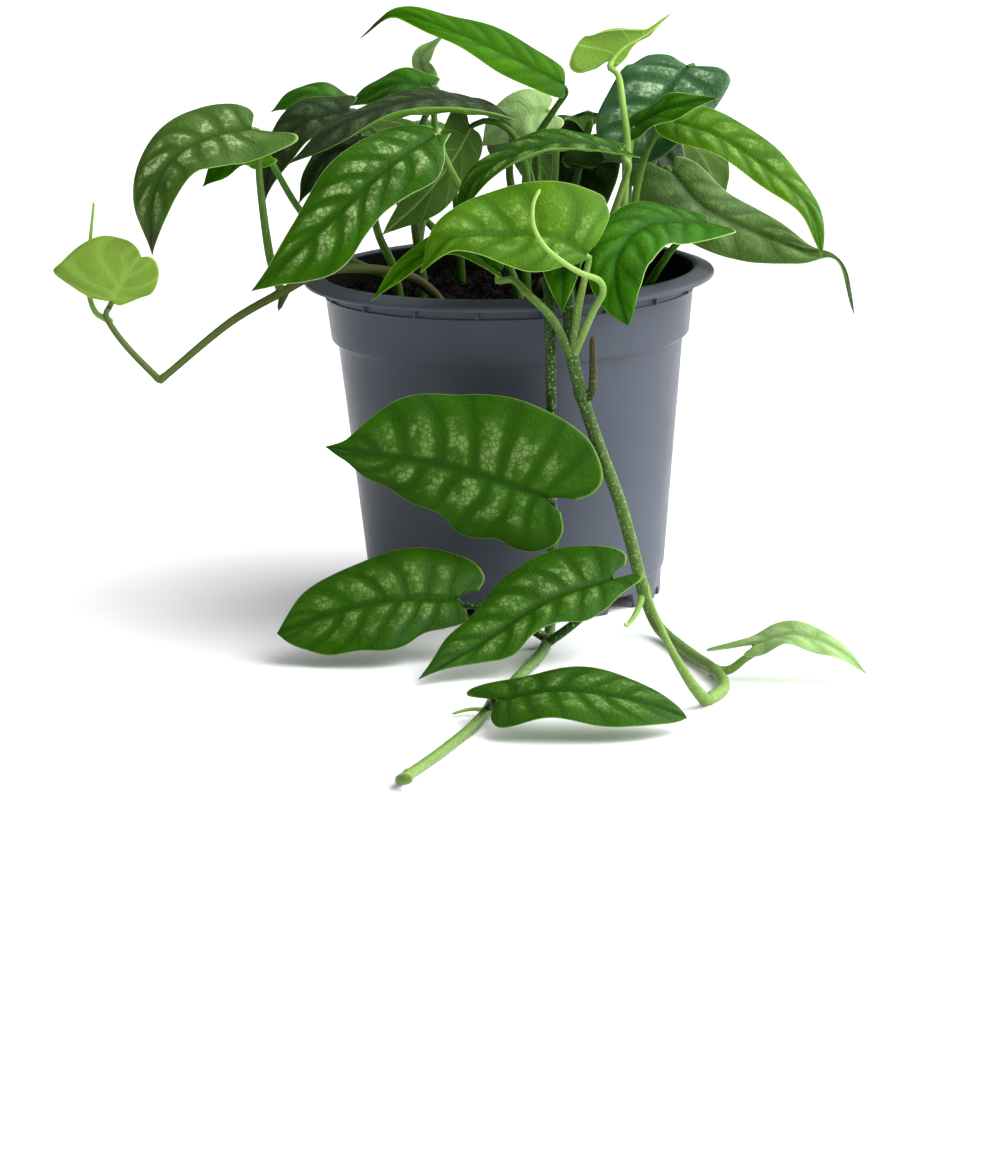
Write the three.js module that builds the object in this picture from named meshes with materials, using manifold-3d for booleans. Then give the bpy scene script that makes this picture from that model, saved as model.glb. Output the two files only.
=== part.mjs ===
// A Monstera siltepecana in a round nursery pot, in millimetres, with +Z up.
// The plant is laid out about the axis of the pot, and the viewer stands at -Y.
import * as THREE from "three";
import { mergeVertices } from "three/addons/utils/BufferGeometryUtils.js";
import Module from "manifold-3d";

const wasm = await Module();
wasm.setup();

// Driving dimensions
const potDiameter = 120;
const potHeight = 97.2;
const wall = 1.2;
const footHeight = 4.4;
const soilTop = 88.5;
const clearance = 0.3;
const rootDepth = 26;
const bladeThickness = 0.64;
const smallestEdge = 0.01;

const plastic = new THREE.MeshStandardMaterial({ color: 0x4a5058, roughness: 0.5, metalness: 0 });
const earth = new THREE.MeshStandardMaterial({ color: 0x1c130c, roughness: 1, metalness: 0 });
const stemGreen = new THREE.MeshStandardMaterial({ color: 0x5d7c34, roughness: 0.6, metalness: 0 });
const bladeTones = {
  dark: 0x244a12,
  middle: 0x346a12,
  young: 0x86b23c,
  silver: 0x3f6a50,
};

// Solids and meshes

function solidOf(geometry) {
  geometry.deleteAttribute("normal");
  geometry.deleteAttribute("uv");
  const merged = mergeVertices(geometry, 1e-3);
  return new wasm.Manifold(new wasm.Mesh({
    numProp: 3,
    vertProperties: merged.attributes.position.array,
    triVerts: new Uint32Array(merged.index.array),
  }));
}

function geometryOf(solid) {
  const mesh = solid.getMesh();
  const geometry = new THREE.BufferGeometry();
  geometry.setAttribute("position", new THREE.BufferAttribute(mesh.vertProperties, 3));
  geometry.setIndex(new THREE.BufferAttribute(mesh.triVerts, 1));
  return geometry;
}

function namedMesh(name, geometry, material) {
  const flat = geometry.index ? geometry.toNonIndexed() : geometry;
  flat.computeVertexNormals();
  const mesh = new THREE.Mesh(flat, material.clone());
  mesh.name = name;
  return mesh;
}

// A closed skin over rings of equal point counts, each end closed by a strip across its ring.
function loft(rings) {
  const count = rings[0].length;
  const positions = rings.flat().flatMap((point) => point.toArray());
  const indices = [];
  const quad = (a, b, c, d) => indices.push(a, b, c, a, c, d);
  for (let ring = 0; ring < rings.length - 1; ring++) {
    for (let k = 0; k < count; k++) {
      const next = (k + 1) % count;
      const here = ring * count;
      const ahead = here + count;
      quad(here + k, here + next, ahead + next, ahead + k);
    }
  }
  const last = (rings.length - 1) * count;
  for (let k = 0; k < count / 2 - 1; k++) {
    quad(count - 1 - k, count - 2 - k, k + 1, k);
    quad(last + k, last + k + 1, last + count - 2 - k, last + count - 1 - k);
  }
  const geometry = new THREE.BufferGeometry();
  geometry.setAttribute("position", new THREE.Float32BufferAttribute(positions, 3));
  geometry.setIndex(indices);
  return geometry;
}

const vector = (values) => new THREE.Vector3(...values);

function smoothCurve(points) {
  return new THREE.CatmullRomCurve3(points, false, "catmullrom", 0.5);
}

// A round tube along a smooth path, tapered from one radius to the other.
function taperedTube(points, startRadius, endRadius) {
  const sides = 6;
  const ringSpacing = 9;
  const bendLength = 3;
  const curve = smoothCurve(points);
  const length = curve.getLength();
  const steps = Math.max(2, Math.round(length / ringSpacing));
  const shares = Array.from({ length: steps + 1 }, (_, i) => i / steps);
  shares.splice(steps, 0, 1 - bendLength / length);
  const tangents = shares.map((share) => curve.getTangentAt(share));
  let normal = new THREE.Vector3(1, 0, 0);
  const rings = shares.map((share, i) => {
    const tangent = tangents[i];
    normal = normal.addScaledVector(tangent, -normal.dot(tangent)).normalize();
    const binormal = tangent.clone().cross(normal);
    const radius = THREE.MathUtils.lerp(startRadius, endRadius, share);
    const centre = curve.getPointAt(share);
    return Array.from({ length: sides }, (_, k) => {
      const angle = (2 * Math.PI * k) / sides;
      return centre.clone()
        .addScaledVector(normal, radius * Math.cos(angle))
        .addScaledVector(binormal, radius * Math.sin(angle));
    });
  });
  return loft(rings);
}

// Pot

const lipRadius = potDiameter / 2;
const rimRadius = lipRadius - 5.5;
const collarTop = { radius: rimRadius - 0.8, z: potHeight - 2.8 };
const ridgeZ = collarTop.z - 3.4;
const stepZ = potHeight - 19.5;
const stepRadius = 50.5;
const collarBottomRadius = stepRadius + 1.8;
const skirtTop = { radius: 43.5, z: 9 };
const footRadius = 42.3;
const plateTop = footHeight + 1.4;

function potProfile() {
  const outline = [
    [footRadius - wall, 0],
    [footRadius, 0],
    [footRadius + 0.2, footHeight],
    [footRadius + 0.5, skirtTop.z - 1.5],
    [skirtTop.radius, skirtTop.z],
    [stepRadius, stepZ - 0.6],
    [collarBottomRadius, stepZ + 0.2],
    [collarTop.radius, ridgeZ - 0.4],
    [collarTop.radius + 0.6, ridgeZ],
    [collarTop.radius + 0.1, ridgeZ + 0.5],
    [collarTop.radius + 0.2, collarTop.z],
    [lipRadius - 0.5, potHeight - 3.0],
    [lipRadius, potHeight - 2.2],
    [lipRadius - 0.6, potHeight - 1.4],
    [rimRadius + 1, potHeight],
    [rimRadius, potHeight],
    [rimRadius - 0.9, potHeight - 1],
    [collarTop.radius - wall, ridgeZ],
    [collarBottomRadius - wall, stepZ + 0.8],
    [stepRadius - wall, stepZ - 0.2],
    [skirtTop.radius - wall, skirtTop.z],
    [footRadius - wall, plateTop],
    [0, plateTop],
    [0, footHeight],
    [footRadius - wall, footHeight],
    [footRadius - wall, 0],
  ];
  return outline.map(([radius, z]) => new THREE.Vector2(radius, z));
}

// A solid of revolution about +Z from a profile of radius and height.
function turned(profile, segments) {
  return new THREE.LatheGeometry(profile, segments).rotateX(Math.PI / 2);
}

function makePot() {
  const segments = 40;
  const holeCount = 8;
  const frontNotch = THREE.MathUtils.degToRad(-14);
  const notchPattern = [
    { turn: 0, width: 10, height: footHeight },
    { turn: -30, width: 4, height: 2.6 },
    { turn: -44, width: 4, height: 2.6 },
  ];
  let solid = solidOf(turned(potProfile(), segments));
  for (let group = 0; group < 6; group++) {
    for (const notch of notchPattern) {
      const angle = frontNotch + THREE.MathUtils.degToRad(60 * group + notch.turn);
      const cut = new THREE.BoxGeometry(notch.width, 12, 2 * notch.height)
        .translate(0, -footRadius - 1, 0)
        .rotateZ(angle);
      solid = solid.subtract(solidOf(cut));
    }
  }
  for (let i = 0; i < holeCount; i++) {
    const hole = new THREE.CylinderGeometry(3.5, 3.5, 10, 8)
      .rotateX(Math.PI / 2)
      .translate(0, 30, plateTop)
      .rotateZ((2 * Math.PI * i) / holeCount);
    solid = solid.subtract(solidOf(hole));
  }
  return namedMesh("pot", geometryOf(solid), plastic);
}

// Leaf blades

// Points of a blade's edge from the sinus to the tip: how far each goes back with the lobe, how far it is
// along the blade, and its distance from the midrib, as shares of the length and the widest half width.
const sinusEdge = [[-0.35, 0, 0.2], [-0.9, 0, 0.46], [-0.9, 0.02, 0.74], [-0.3, 0.06, 0.93]];
const tipEdges = {
  pointed: [[0, 0.18, 1], [0, 0.38, 0.96], [0, 0.58, 0.82], [0, 0.75, 0.57], [0, 0.88, 0.28],
    [0, 0.95, 0.11], [0, 1, 0]],
  round: [[0, 0.2, 0.98], [0, 0.42, 1], [0, 0.62, 0.94], [0, 0.78, 0.76], [0, 0.9, 0.46],
    [0, 0.97, 0.18], [0, 1, 0]],
};

// The edge left (0) or right (1) of the midrib, flat: millimetres along the blade and away from its midrib.
function bladeEdge(leaf, side) {
  const common = [...sinusEdge, ...tipEdges[leaf.form]]
    .map(([back, ahead, width]) => [back * leaf.lobes[side] + ahead, width]);
  const shares = leaf.edges ? leaf.edges[side] : common;
  return smoothCurve(shares.map(([along, width]) => (
    vector([along * leaf.length, width * leaf.half[side], 0])
  )));
}

// A curled margin rolls up beyond this share of the half width.
const curlStart = 0.5;

// Ripples along each margin, and how far the right margin's run ahead of the left's, in radians.
const rippleCount = 2.2;
const rippleShift = 2.4;

// The blade's middle surface: u runs from the leaf base to the tip, v from the left edge to the right.
function bladePoint(leaf, u, v) {
  const side = v < 0 ? 0 : 1;
  const across = Math.abs(v);
  const edge = leaf.sides[side].getPointAt(u);
  const half = Math.max(edge.y, 0.9 - 0.4 * u);
  const along = THREE.MathUtils.lerp(u ** 1.3, edge.x / leaf.length, across ** (2 - 0.8 * u));

  const inside = THREE.MathUtils.clamp(along, 0, 1);
  const tangent = leaf.curve.getTangentAt(inside);
  const up = leaf.face[0].clone().lerp(leaf.face[1], inside);
  up.addScaledVector(tangent, -up.dot(tangent)).normalize();
  const right = tangent.clone().cross(up);
  const fold = THREE.MathUtils.degToRad(leaf.fold);
  const flat = half * Math.min(across, curlStart);
  const rolled = half * Math.max(across - curlStart, 0);
  const angle = leaf.curl[side] * Math.sin(Math.PI * u) * rolled / half / (1 - curlStart) + 1e-6;
  const width = flat + rolled * Math.sin(angle) / angle;
  const rise = rolled * (1 - Math.cos(angle)) / angle;
  const waves = Math.sin(2 * Math.PI * rippleCount * u + rippleShift * side);
  const droop = leaf.droop * half * across ** 2;
  const ripple = leaf.wave * across ** 2 * waves * Math.sin(Math.PI * u);
  return leaf.curve.getPointAt(inside)
    .addScaledVector(tangent, (along - inside) * leaf.length)
    .addScaledVector(right, Math.sign(v) * width * Math.cos(fold))
    .addScaledVector(up, width * Math.sin(fold) - droop + ripple + rise);
}

function bladeGeometry(leaf, rows, columns) {
  const grid = [];
  for (let i = 0; i <= rows; i++) {
    grid.push(Array.from({ length: 2 * columns + 1 }, (_, k) => bladePoint(leaf, i / rows, k / columns - 1)));
  }
  const rings = grid.map((row, i) => {
    const before = grid[Math.max(i - 1, 0)];
    const after = grid[Math.min(i + 1, rows)];
    const shifts = row.map((point, k) => {
      const leftward = row[Math.max(k - 1, 0)];
      const rightward = row[Math.min(k + 1, 2 * columns)];
      const forward = after[k].clone().sub(before[k]);
      return rightward.clone().sub(leftward).cross(forward).setLength(bladeThickness / 2);
    });
    const upper = row.map((point, k) => point.clone().add(shifts[k]));
    const lower = row.map((point, k) => point.clone().sub(shifts[k]));
    return [...upper, ...lower.reverse()];
  });
  return loft(rings);
}

const leafDefaults = {
  lobes: [0.14, 0.12],
  form: "pointed",
  fold: 14,
  droop: 0.22,
  wave: 0.8,
  curl: [0, 0],
  tone: "middle",
};

// Each blade: midrib points from its base to its tip, the way its upper side faces at
// both ends, and its half widths left and right of the midrib. A blade with edges of its own lists them.
const leafList = [
  { name: "leaf_left_outer", tone: "dark", half: [13.5, 12.5], lobes: [0.22, 0.04],
    midrib: [[-72, -35, 145], [-83, -38, 143.5], [-94, -43, 138.5], [-100, -49, 129], [-101, -52, 112]],
    face: [[-0.1, -0.6, 0.8], [-0.75, -0.6, 0.25]] },
  { name: "leaf_front_left", half: [14, 13],
    midrib: [[-20, -36, 142], [-33, -46, 135], [-49, -54, 122], [-73, -58, 102]],
    face: [[-0.1, -0.7, 0.7], [-0.1, -0.85, 0.5]],
    edges: [
      [[-0.05, 0.2], [0.02, 0.38], [0.09, 0.75], [0.18, 0.98], [0.3, 0.82], [0.42, 0.74], [0.53, 0.85],
       [0.63, 1], [0.72, 0.94], [0.82, 0.64], [0.89, 0.36], [0.95, 0.17], [1, 0]],
      [[-0.02, 0.2], [0.02, 0.5], [0.11, 0.82], [0.28, 0.98], [0.44, 1], [0.57, 0.84], [0.69, 0.58],
       [0.8, 0.34], [0.9, 0.14], [1, 0]],
    ] },
  { name: "leaf_top_left", half: [10, 11],
    midrib: [[17.5, 1, 150], [1, -3, 159.5], [-17, -7, 168.5], [-31, -8, 173], [-41, -10, 167]],
    face: [[0.25, -0.45, 0.86], [-0.1, -0.5, 0.86]],
    edges: [
      [[0, 0.2], [0, 0.55], [0.03, 0.85], [0.12, 1], [0.28, 0.95], [0.46, 0.8], [0.62, 0.58],
       [0.76, 0.28], [0.83, 0.1], [0.91, 0.06], [1, 0]],
      [[0, 0.2], [0, 0.5], [0.02, 0.82], [0.1, 0.98], [0.26, 1], [0.44, 0.9], [0.6, 0.72], [0.72, 0.5],
       [0.81, 0.26], [0.87, 0.09], [0.93, 0.05], [1, 0]],
    ] },
  { name: "leaf_left_long", tone: "dark", half: [18, 11], lobes: [0.03, 0.03], fold: 3, curl: [1.9, 0],
    midrib: [[-3, -8, 146], [-22, -18, 150], [-44, -24, 145], [-62, -30, 134]],
    face: [[0, -0.25, 0.97], [-0.1, -0.3, 0.95]] },
  { name: "leaf_left_bright", half: [6, 7],
    midrib: [[-21, 14, 149], [-32, 12, 150], [-46, 12, 144]],
    face: [[-0.1, -0.5, 0.85], [-0.1, -0.5, 0.85]] },
  { name: "leaf_left_curled", tone: "young", half: [3, 3.5],
    midrib: [[-22, 26, 149], [-24, 25, 156], [-17, 23, 163]],
    face: [[-0.3, -0.9, 0.2], [-0.3, -0.6, 0.7]] },
  { name: "leaf_left_small", half: [6, 7],
    midrib: [[-46, 8, 145], [-57, 6, 148.5], [-68, 6, 144]],
    face: [[0, -0.45, 0.9], [0, -0.45, 0.9]] },
  { name: "leaf_left_hanging", tone: "dark", half: [10, 9],
    midrib: [[-45, -2, 145], [-59, -8, 142], [-67, -12, 132], [-70, -14, 121]],
    face: [[-0.1, -0.5, 0.85], [-0.8, -0.55, 0.2]] },
  { name: "leaf_left_lower", half: [6, 6],
    midrib: [[-69, -24, 136], [-77, -26, 136], [-87, -30, 128]],
    face: [[-0.2, -0.6, 0.75], [-0.4, -0.6, 0.6]] },
  { name: "leaf_left_inner", tone: "dark", half: [6, 6],
    midrib: [[-40, -15.5, 136], [-52, -18, 133.5], [-60, -21, 121]],
    face: [[-0.3, -0.6, 0.75], [-0.6, -0.6, 0.5]] },
  { name: "leaf_centre_pale", tone: "young", half: [8, 8],
    midrib: [[13, 20, 140], [3, 16, 139], [-7, 14, 131]],
    face: [[0, -0.8, 0.6], [0, -0.8, 0.6]] },
  { name: "leaf_centre_back", tone: "dark", half: [12, 9],
    midrib: [[24, 28, 132], [23, 33, 128], [23, 34.5, 115], [25, 33, 101]],
    face: [[0.1, -0.85, 0.5], [0, -0.97, 0.2]] },
  { name: "leaf_top_young", tone: "young", half: [4, 12], wave: 0.4,
    midrib: [[31, -8, 158], [35, -7, 162], [42, -4, 165.5], [49, -2, 171]],
    face: [[-0.3, 0.9, 0.2], [-0.35, 0.3, 0.9]],
    edges: [
      [[-0.1, 0.2], [-0.1, 0.5], [0.05, 0.8], [0.2, 0.85], [0.42, 0.5], [0.62, 0.7], [0.7, 0.35],
       [0.85, 0.25], [1, 0]],
      [[-0.2, 0.15], [-0.39, 0.42], [-0.42, 0.74], [-0.28, 0.93], [-0.05, 1], [0.12, 0.84], [0.25, 0.58],
       [0.42, 0.34], [0.6, 0.16], [0.8, 0.1], [1, 0]],
    ] },
  { name: "leaf_right_silver", tone: "silver", half: [17, 17], lobes: [0.06, 0.06], form: "round", wave: 1.2,
    midrib: [[54, 14, 153], [49, 8, 148], [42, 4, 141], [29, 0, 128]],
    face: [[-0.3, -0.7, 0.65], [-0.4, -0.75, 0.5]] },
  { name: "leaf_right_small", half: [6.5, 6], lobes: [0.12, 0.08],
    midrib: [[37, -12, 139], [47, -18, 145], [61, -23, 148.5]],
    face: [[-0.2, -0.55, 0.8], [-0.2, -0.55, 0.8]] },
  { name: "leaf_right_arching", half: [11.5, 9.5],
    midrib: [[48, -11, 140.5], [61, -17, 136.5], [75, -24, 127.5], [86, -28, 117], [90, -30, 103]],
    face: [[0.2, -0.5, 0.84], [0.5, -0.55, 0.6]],
    edges: [
      [[-0.02, 0.2], [-0.06, 0.5], [0, 0.84], [0.12, 1], [0.3, 0.98], [0.48, 0.8], [0.64, 0.6],
       [0.78, 0.46], [0.9, 0.27], [0.96, 0.12], [1, 0]],
      [[-0.02, 0.2], [-0.05, 0.5], [0, 0.84], [0.12, 1], [0.28, 0.96], [0.46, 0.82], [0.62, 0.68],
       [0.76, 0.52], [0.88, 0.3], [0.95, 0.13], [1, 0]],
    ] },
  { name: "leaf_right_outer", tone: "dark", half: [9.5, 14],
    midrib: [[48, 10, 123], [57, 4, 113], [71, 0, 106], [85, -6, 101], [96, -8, 98], [100, -12, 83]],
    face: [[0.1, -0.75, 0.6], [0.5, -0.6, 0.6]],
    edges: [
      [[-0.01, 0.2], [-0.03, 0.5], [0.04, 0.86], [0.16, 1], [0.32, 0.97], [0.47, 0.78], [0.6, 0.46],
       [0.7, 0.18], [0.76, 0.1], [0.88, 0.08], [0.96, 0.05], [1, 0]],
      [[-0.06, 0.2], [-0.16, 0.46], [-0.13, 0.76], [0, 0.94], [0.16, 1], [0.32, 0.96], [0.47, 0.8],
       [0.6, 0.5], [0.7, 0.2], [0.76, 0.1], [0.88, 0.08], [0.96, 0.05], [1, 0]],
    ] },
  { name: "leaf_right_inner", tone: "dark", half: [8, 8],
    midrib: [[36, 21, 135], [45, 23, 128], [54, 25, 115]],
    face: [[0.2, -0.85, 0.5], [0.2, -0.85, 0.5]] },
  { name: "leaf_front_right", half: [11, 10], lobes: [0.1, 0.06], form: "round",
    midrib: [[57, -33, 114], [40, -46, 116], [31, -59, 110], [30, -66, 101], [33, -68, 91]],
    face: [[0, -0.35, 0.93], [-0.25, -0.95, 0.1]] },
  { name: "leaf_right_low", half: [5, 5],
    midrib: [[42, 20, 109], [49, 22, 106], [55, 24, 99.5]],
    face: [[0.3, -0.8, 0.5], [0.3, -0.8, 0.5]] },
  { name: "leaf_front_centre", half: [14, 18], fold: 18,
    midrib: [[22, -66, 111], [12, -68, 117], [-2, -70, 118], [-16, -74, 118], [-25, -76, 109]],
    face: [[0, -0.7, 0.7], [-0.3, -0.7, 0.65]],
    edges: [
      [[0.01, 0.2], [0.09, 0.56], [0.21, 0.9], [0.36, 1], [0.5, 0.86], [0.63, 0.6], [0.76, 0.36],
       [0.88, 0.17], [1, 0]],
      [[-0.02, 0.2], [-0.04, 0.55], [-0.04, 0.92], [0.03, 1.1], [0.16, 1.04], [0.29, 0.98], [0.43, 0.92],
       [0.57, 0.78], [0.72, 0.5], [0.86, 0.22], [1, 0]],
    ] },
  { name: "leaf_front_tucked", half: [6.5, 8],
    midrib: [[18, -42, 110], [16, -54, 110], [15, -64, 106], [14.5, -68, 95]],
    face: [[0, -0.3, 0.95], [0, -0.9, 0.4]] },
  { name: "leaf_front_narrow", half: [6, 6], lobes: [0.02, 0.02], fold: 34,
    midrib: [[-3, -56, 105], [-14, -60, 113], [-25, -64, 111], [-39, -67, 100]],
    face: [[0.3, -0.5, 0.8], [-0.3, -0.6, 0.7]] },
  { name: "leaf_centre_arching", tone: "dark", half: [11, 8], lobes: [0.06, 0.05], curl: [1.5, 0],
    midrib: [[33, -31, 135.5], [17, -38, 139], [3, -44, 137], [-8.5, -48, 131], [-16, -50, 118]],
    face: [[0, -0.3, 0.95], [-0.3, -0.5, 0.8]] },
  { name: "leaf_centre_left", tone: "dark", half: [11, 11], lobes: [0.04, 0.04],
    midrib: [[-10, -14, 141], [-16, -22, 132], [-25, -28, 122], [-36, -32, 113]],
    face: [[-0.4, 0.8, 0.4], [-0.4, 0.8, 0.4]] },
  { name: "leaf_left_young", tone: "young", half: [19, 9], fold: 6, wave: 0.4,
    midrib: [[-113.6, -42, 97], [-109.8, -42, 104], [-104.5, -42, 110]],
    face: [[0.2, -0.85, 0.45], [0.2, -0.85, 0.45]],
    edges: [
      [[-0.04, 0.14], [-0.1, 0.34], [-0.08, 0.68], [0, 1], [0.3, 0.93], [0.58, 0.8], [0.84, 0.62],
       [1.04, 0.36], [1.07, 0.16], [1, 0]],
      [[0.02, 0.3], [0.2, 0.62], [0.45, 0.94], [0.7, 1], [0.95, 0.8], [1.1, 0.48], [1.1, 0.2], [1, 0]],
    ] },
  { name: "leaf_back_left", half: [13, 13],
    midrib: [[-17, 30.5, 128.5], [-28, 42, 134], [-38, 56, 124], [-42, 64, 108]],
    face: [[-0.3, 0.5, 0.8], [-0.4, 0.8, 0.4]] },
  { name: "leaf_back_centre", tone: "dark", half: [13, 13],
    midrib: [[6, 44, 126], [8, 58, 131], [10, 71, 122], [10, 78, 104]],
    face: [[0, 0.4, 0.9], [0, 0.9, 0.4]] },
  { name: "leaf_back_right", half: [12, 12],
    midrib: [[38, 32, 130], [48, 42, 132], [59, 51, 121], [65, 58, 104]],
    face: [[0.3, 0.5, 0.8], [0.5, 0.7, 0.4]] },
  { name: "leaf_back_low", tone: "dark", half: [12, 12],
    midrib: [[-32, 32, 114], [-43, 45, 116], [-53, 57, 105], [-57, 65, 90]],
    face: [[-0.3, 0.5, 0.8], [-0.5, 0.7, 0.4]] },
  { name: "leaf_trail_hanging", half: [18, 24], fold: 10, wave: 1,
    midrib: [[9.5, -71, 42.5], [-6, -73, 49], [-22, -74, 54], [-38, -75, 57], [-53, -75, 60]],
    face: [[0, -1, 0.1], [0, -1, 0.1]],
    edges: [
      [[-0.07, 0.14], [-0.11, 0.42], [-0.09, 0.7], [-0.01, 0.9], [0.08, 0.94], [0.14, 0.9], [0.26, 1],
       [0.35, 0.96], [0.45, 0.76], [0.6, 0.68], [0.71, 0.49], [0.81, 0.38], [0.9, 0.18], [0.95, 0.1],
       [1, 0]],
      [[-0.12, 0.1], [-0.18, 0.26], [-0.19, 0.48], [-0.1, 0.78], [0.03, 0.93], [0.24, 1], [0.38, 0.95],
       [0.5, 0.85], [0.63, 0.79], [0.74, 0.66], [0.82, 0.46], [0.89, 0.22], [0.93, 0.1], [1, 0]],
    ] },
  { name: "leaf_trail_right", half: [12, 17],
    midrib: [[27, -84, 22], [8, -94, 18], [-11, -106, 9], [-28, -118, 2.5]],
    face: [[-0.1, -0.6, 0.8], [-0.1, -0.6, 0.8]],
    edges: [
      [[-0.14, 0.1], [-0.1, 0.36], [0.02, 0.6], [0.12, 0.88], [0.24, 1], [0.36, 0.74], [0.49, 0.7],
       [0.62, 0.84], [0.74, 0.48], [0.87, 0.16], [1, 0]],
      [[-0.09, 0.2], [-0.12, 0.44], [-0.08, 0.7], [0, 0.9], [0.11, 1], [0.28, 0.92], [0.44, 0.82],
       [0.6, 0.62], [0.76, 0.46], [0.9, 0.18], [1, 0]],
    ] },
  { name: "leaf_trail_left", half: [17, 17],
    midrib: [[-17, -80, 16], [-34, -82, 17], [-52, -84, 14], [-68, -86, 9]],
    face: [[0, -0.7, 0.7], [0, -0.7, 0.7]],
    edges: [
      [[-0.04, 0.2], [-0.04, 0.44], [0.07, 0.6], [0.19, 0.7], [0.32, 0.92], [0.46, 1], [0.6, 0.9],
       [0.77, 0.78], [0.89, 0.5], [0.96, 0.26], [1, 0]],
      [[-0.12, 0.2], [-0.155, 0.46], [-0.1, 0.78], [0.03, 0.96], [0.2, 1], [0.38, 0.92], [0.6, 0.78],
       [0.79, 0.55], [0.92, 0.24], [1, 0]],
    ] },
  { name: "leaf_trail_end", half: [12, 16], lobes: [0.2, 0.03], form: "round",
    midrib: [[-6, -170, 8], [10, -173, 11], [28, -176, 9], [44, -178, 4]],
    face: [[0, -0.3, 0.95], [0, -0.3, 0.95]] },
  { name: "leaf_trail_small", tone: "young", half: [7, 7], lobes: [0.45, 0.1],
    midrib: [[65, -120, 10], [75, -122, 13], [86, -125, 10], [95, -127, 3]],
    face: [[0.1, -0.3, 0.95], [0.1, -0.3, 0.95]] },
].map((values) => {
  const leaf = { ...leafDefaults, ...values };
  leaf.curve = smoothCurve(leaf.midrib.map(vector));
  leaf.length = leaf.curve.getLength();
  leaf.face = leaf.face.map(vector);
  leaf.sides = [0, 1].map((side) => bladeEdge(leaf, side));
  return leaf;
});
const leaves = new Map(leafList.map((leaf) => [leaf.name, leaf]));

function makeLeaf(leaf) {
  const plainRows = leaf.length > 40 ? 9 : 7;
  const rows = leaf.edges ? 12 : plainRows;
  const columns = leaf.length > 40 ? 3 : 2;
  const material = new THREE.MeshStandardMaterial({
    color: bladeTones[leaf.tone], roughness: 0.45, metalness: 0,
  });
  return namedMesh(leaf.name, bladeGeometry(leaf, rows, columns), material);
}

// Stems

// The stretch of a stem that stands upright in its hole in the soil.
const buried = (x, y) => [-rootDepth, -rootDepth / 2, -4, 3].map((depth) => [x, y, soilTop + depth]);

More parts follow.
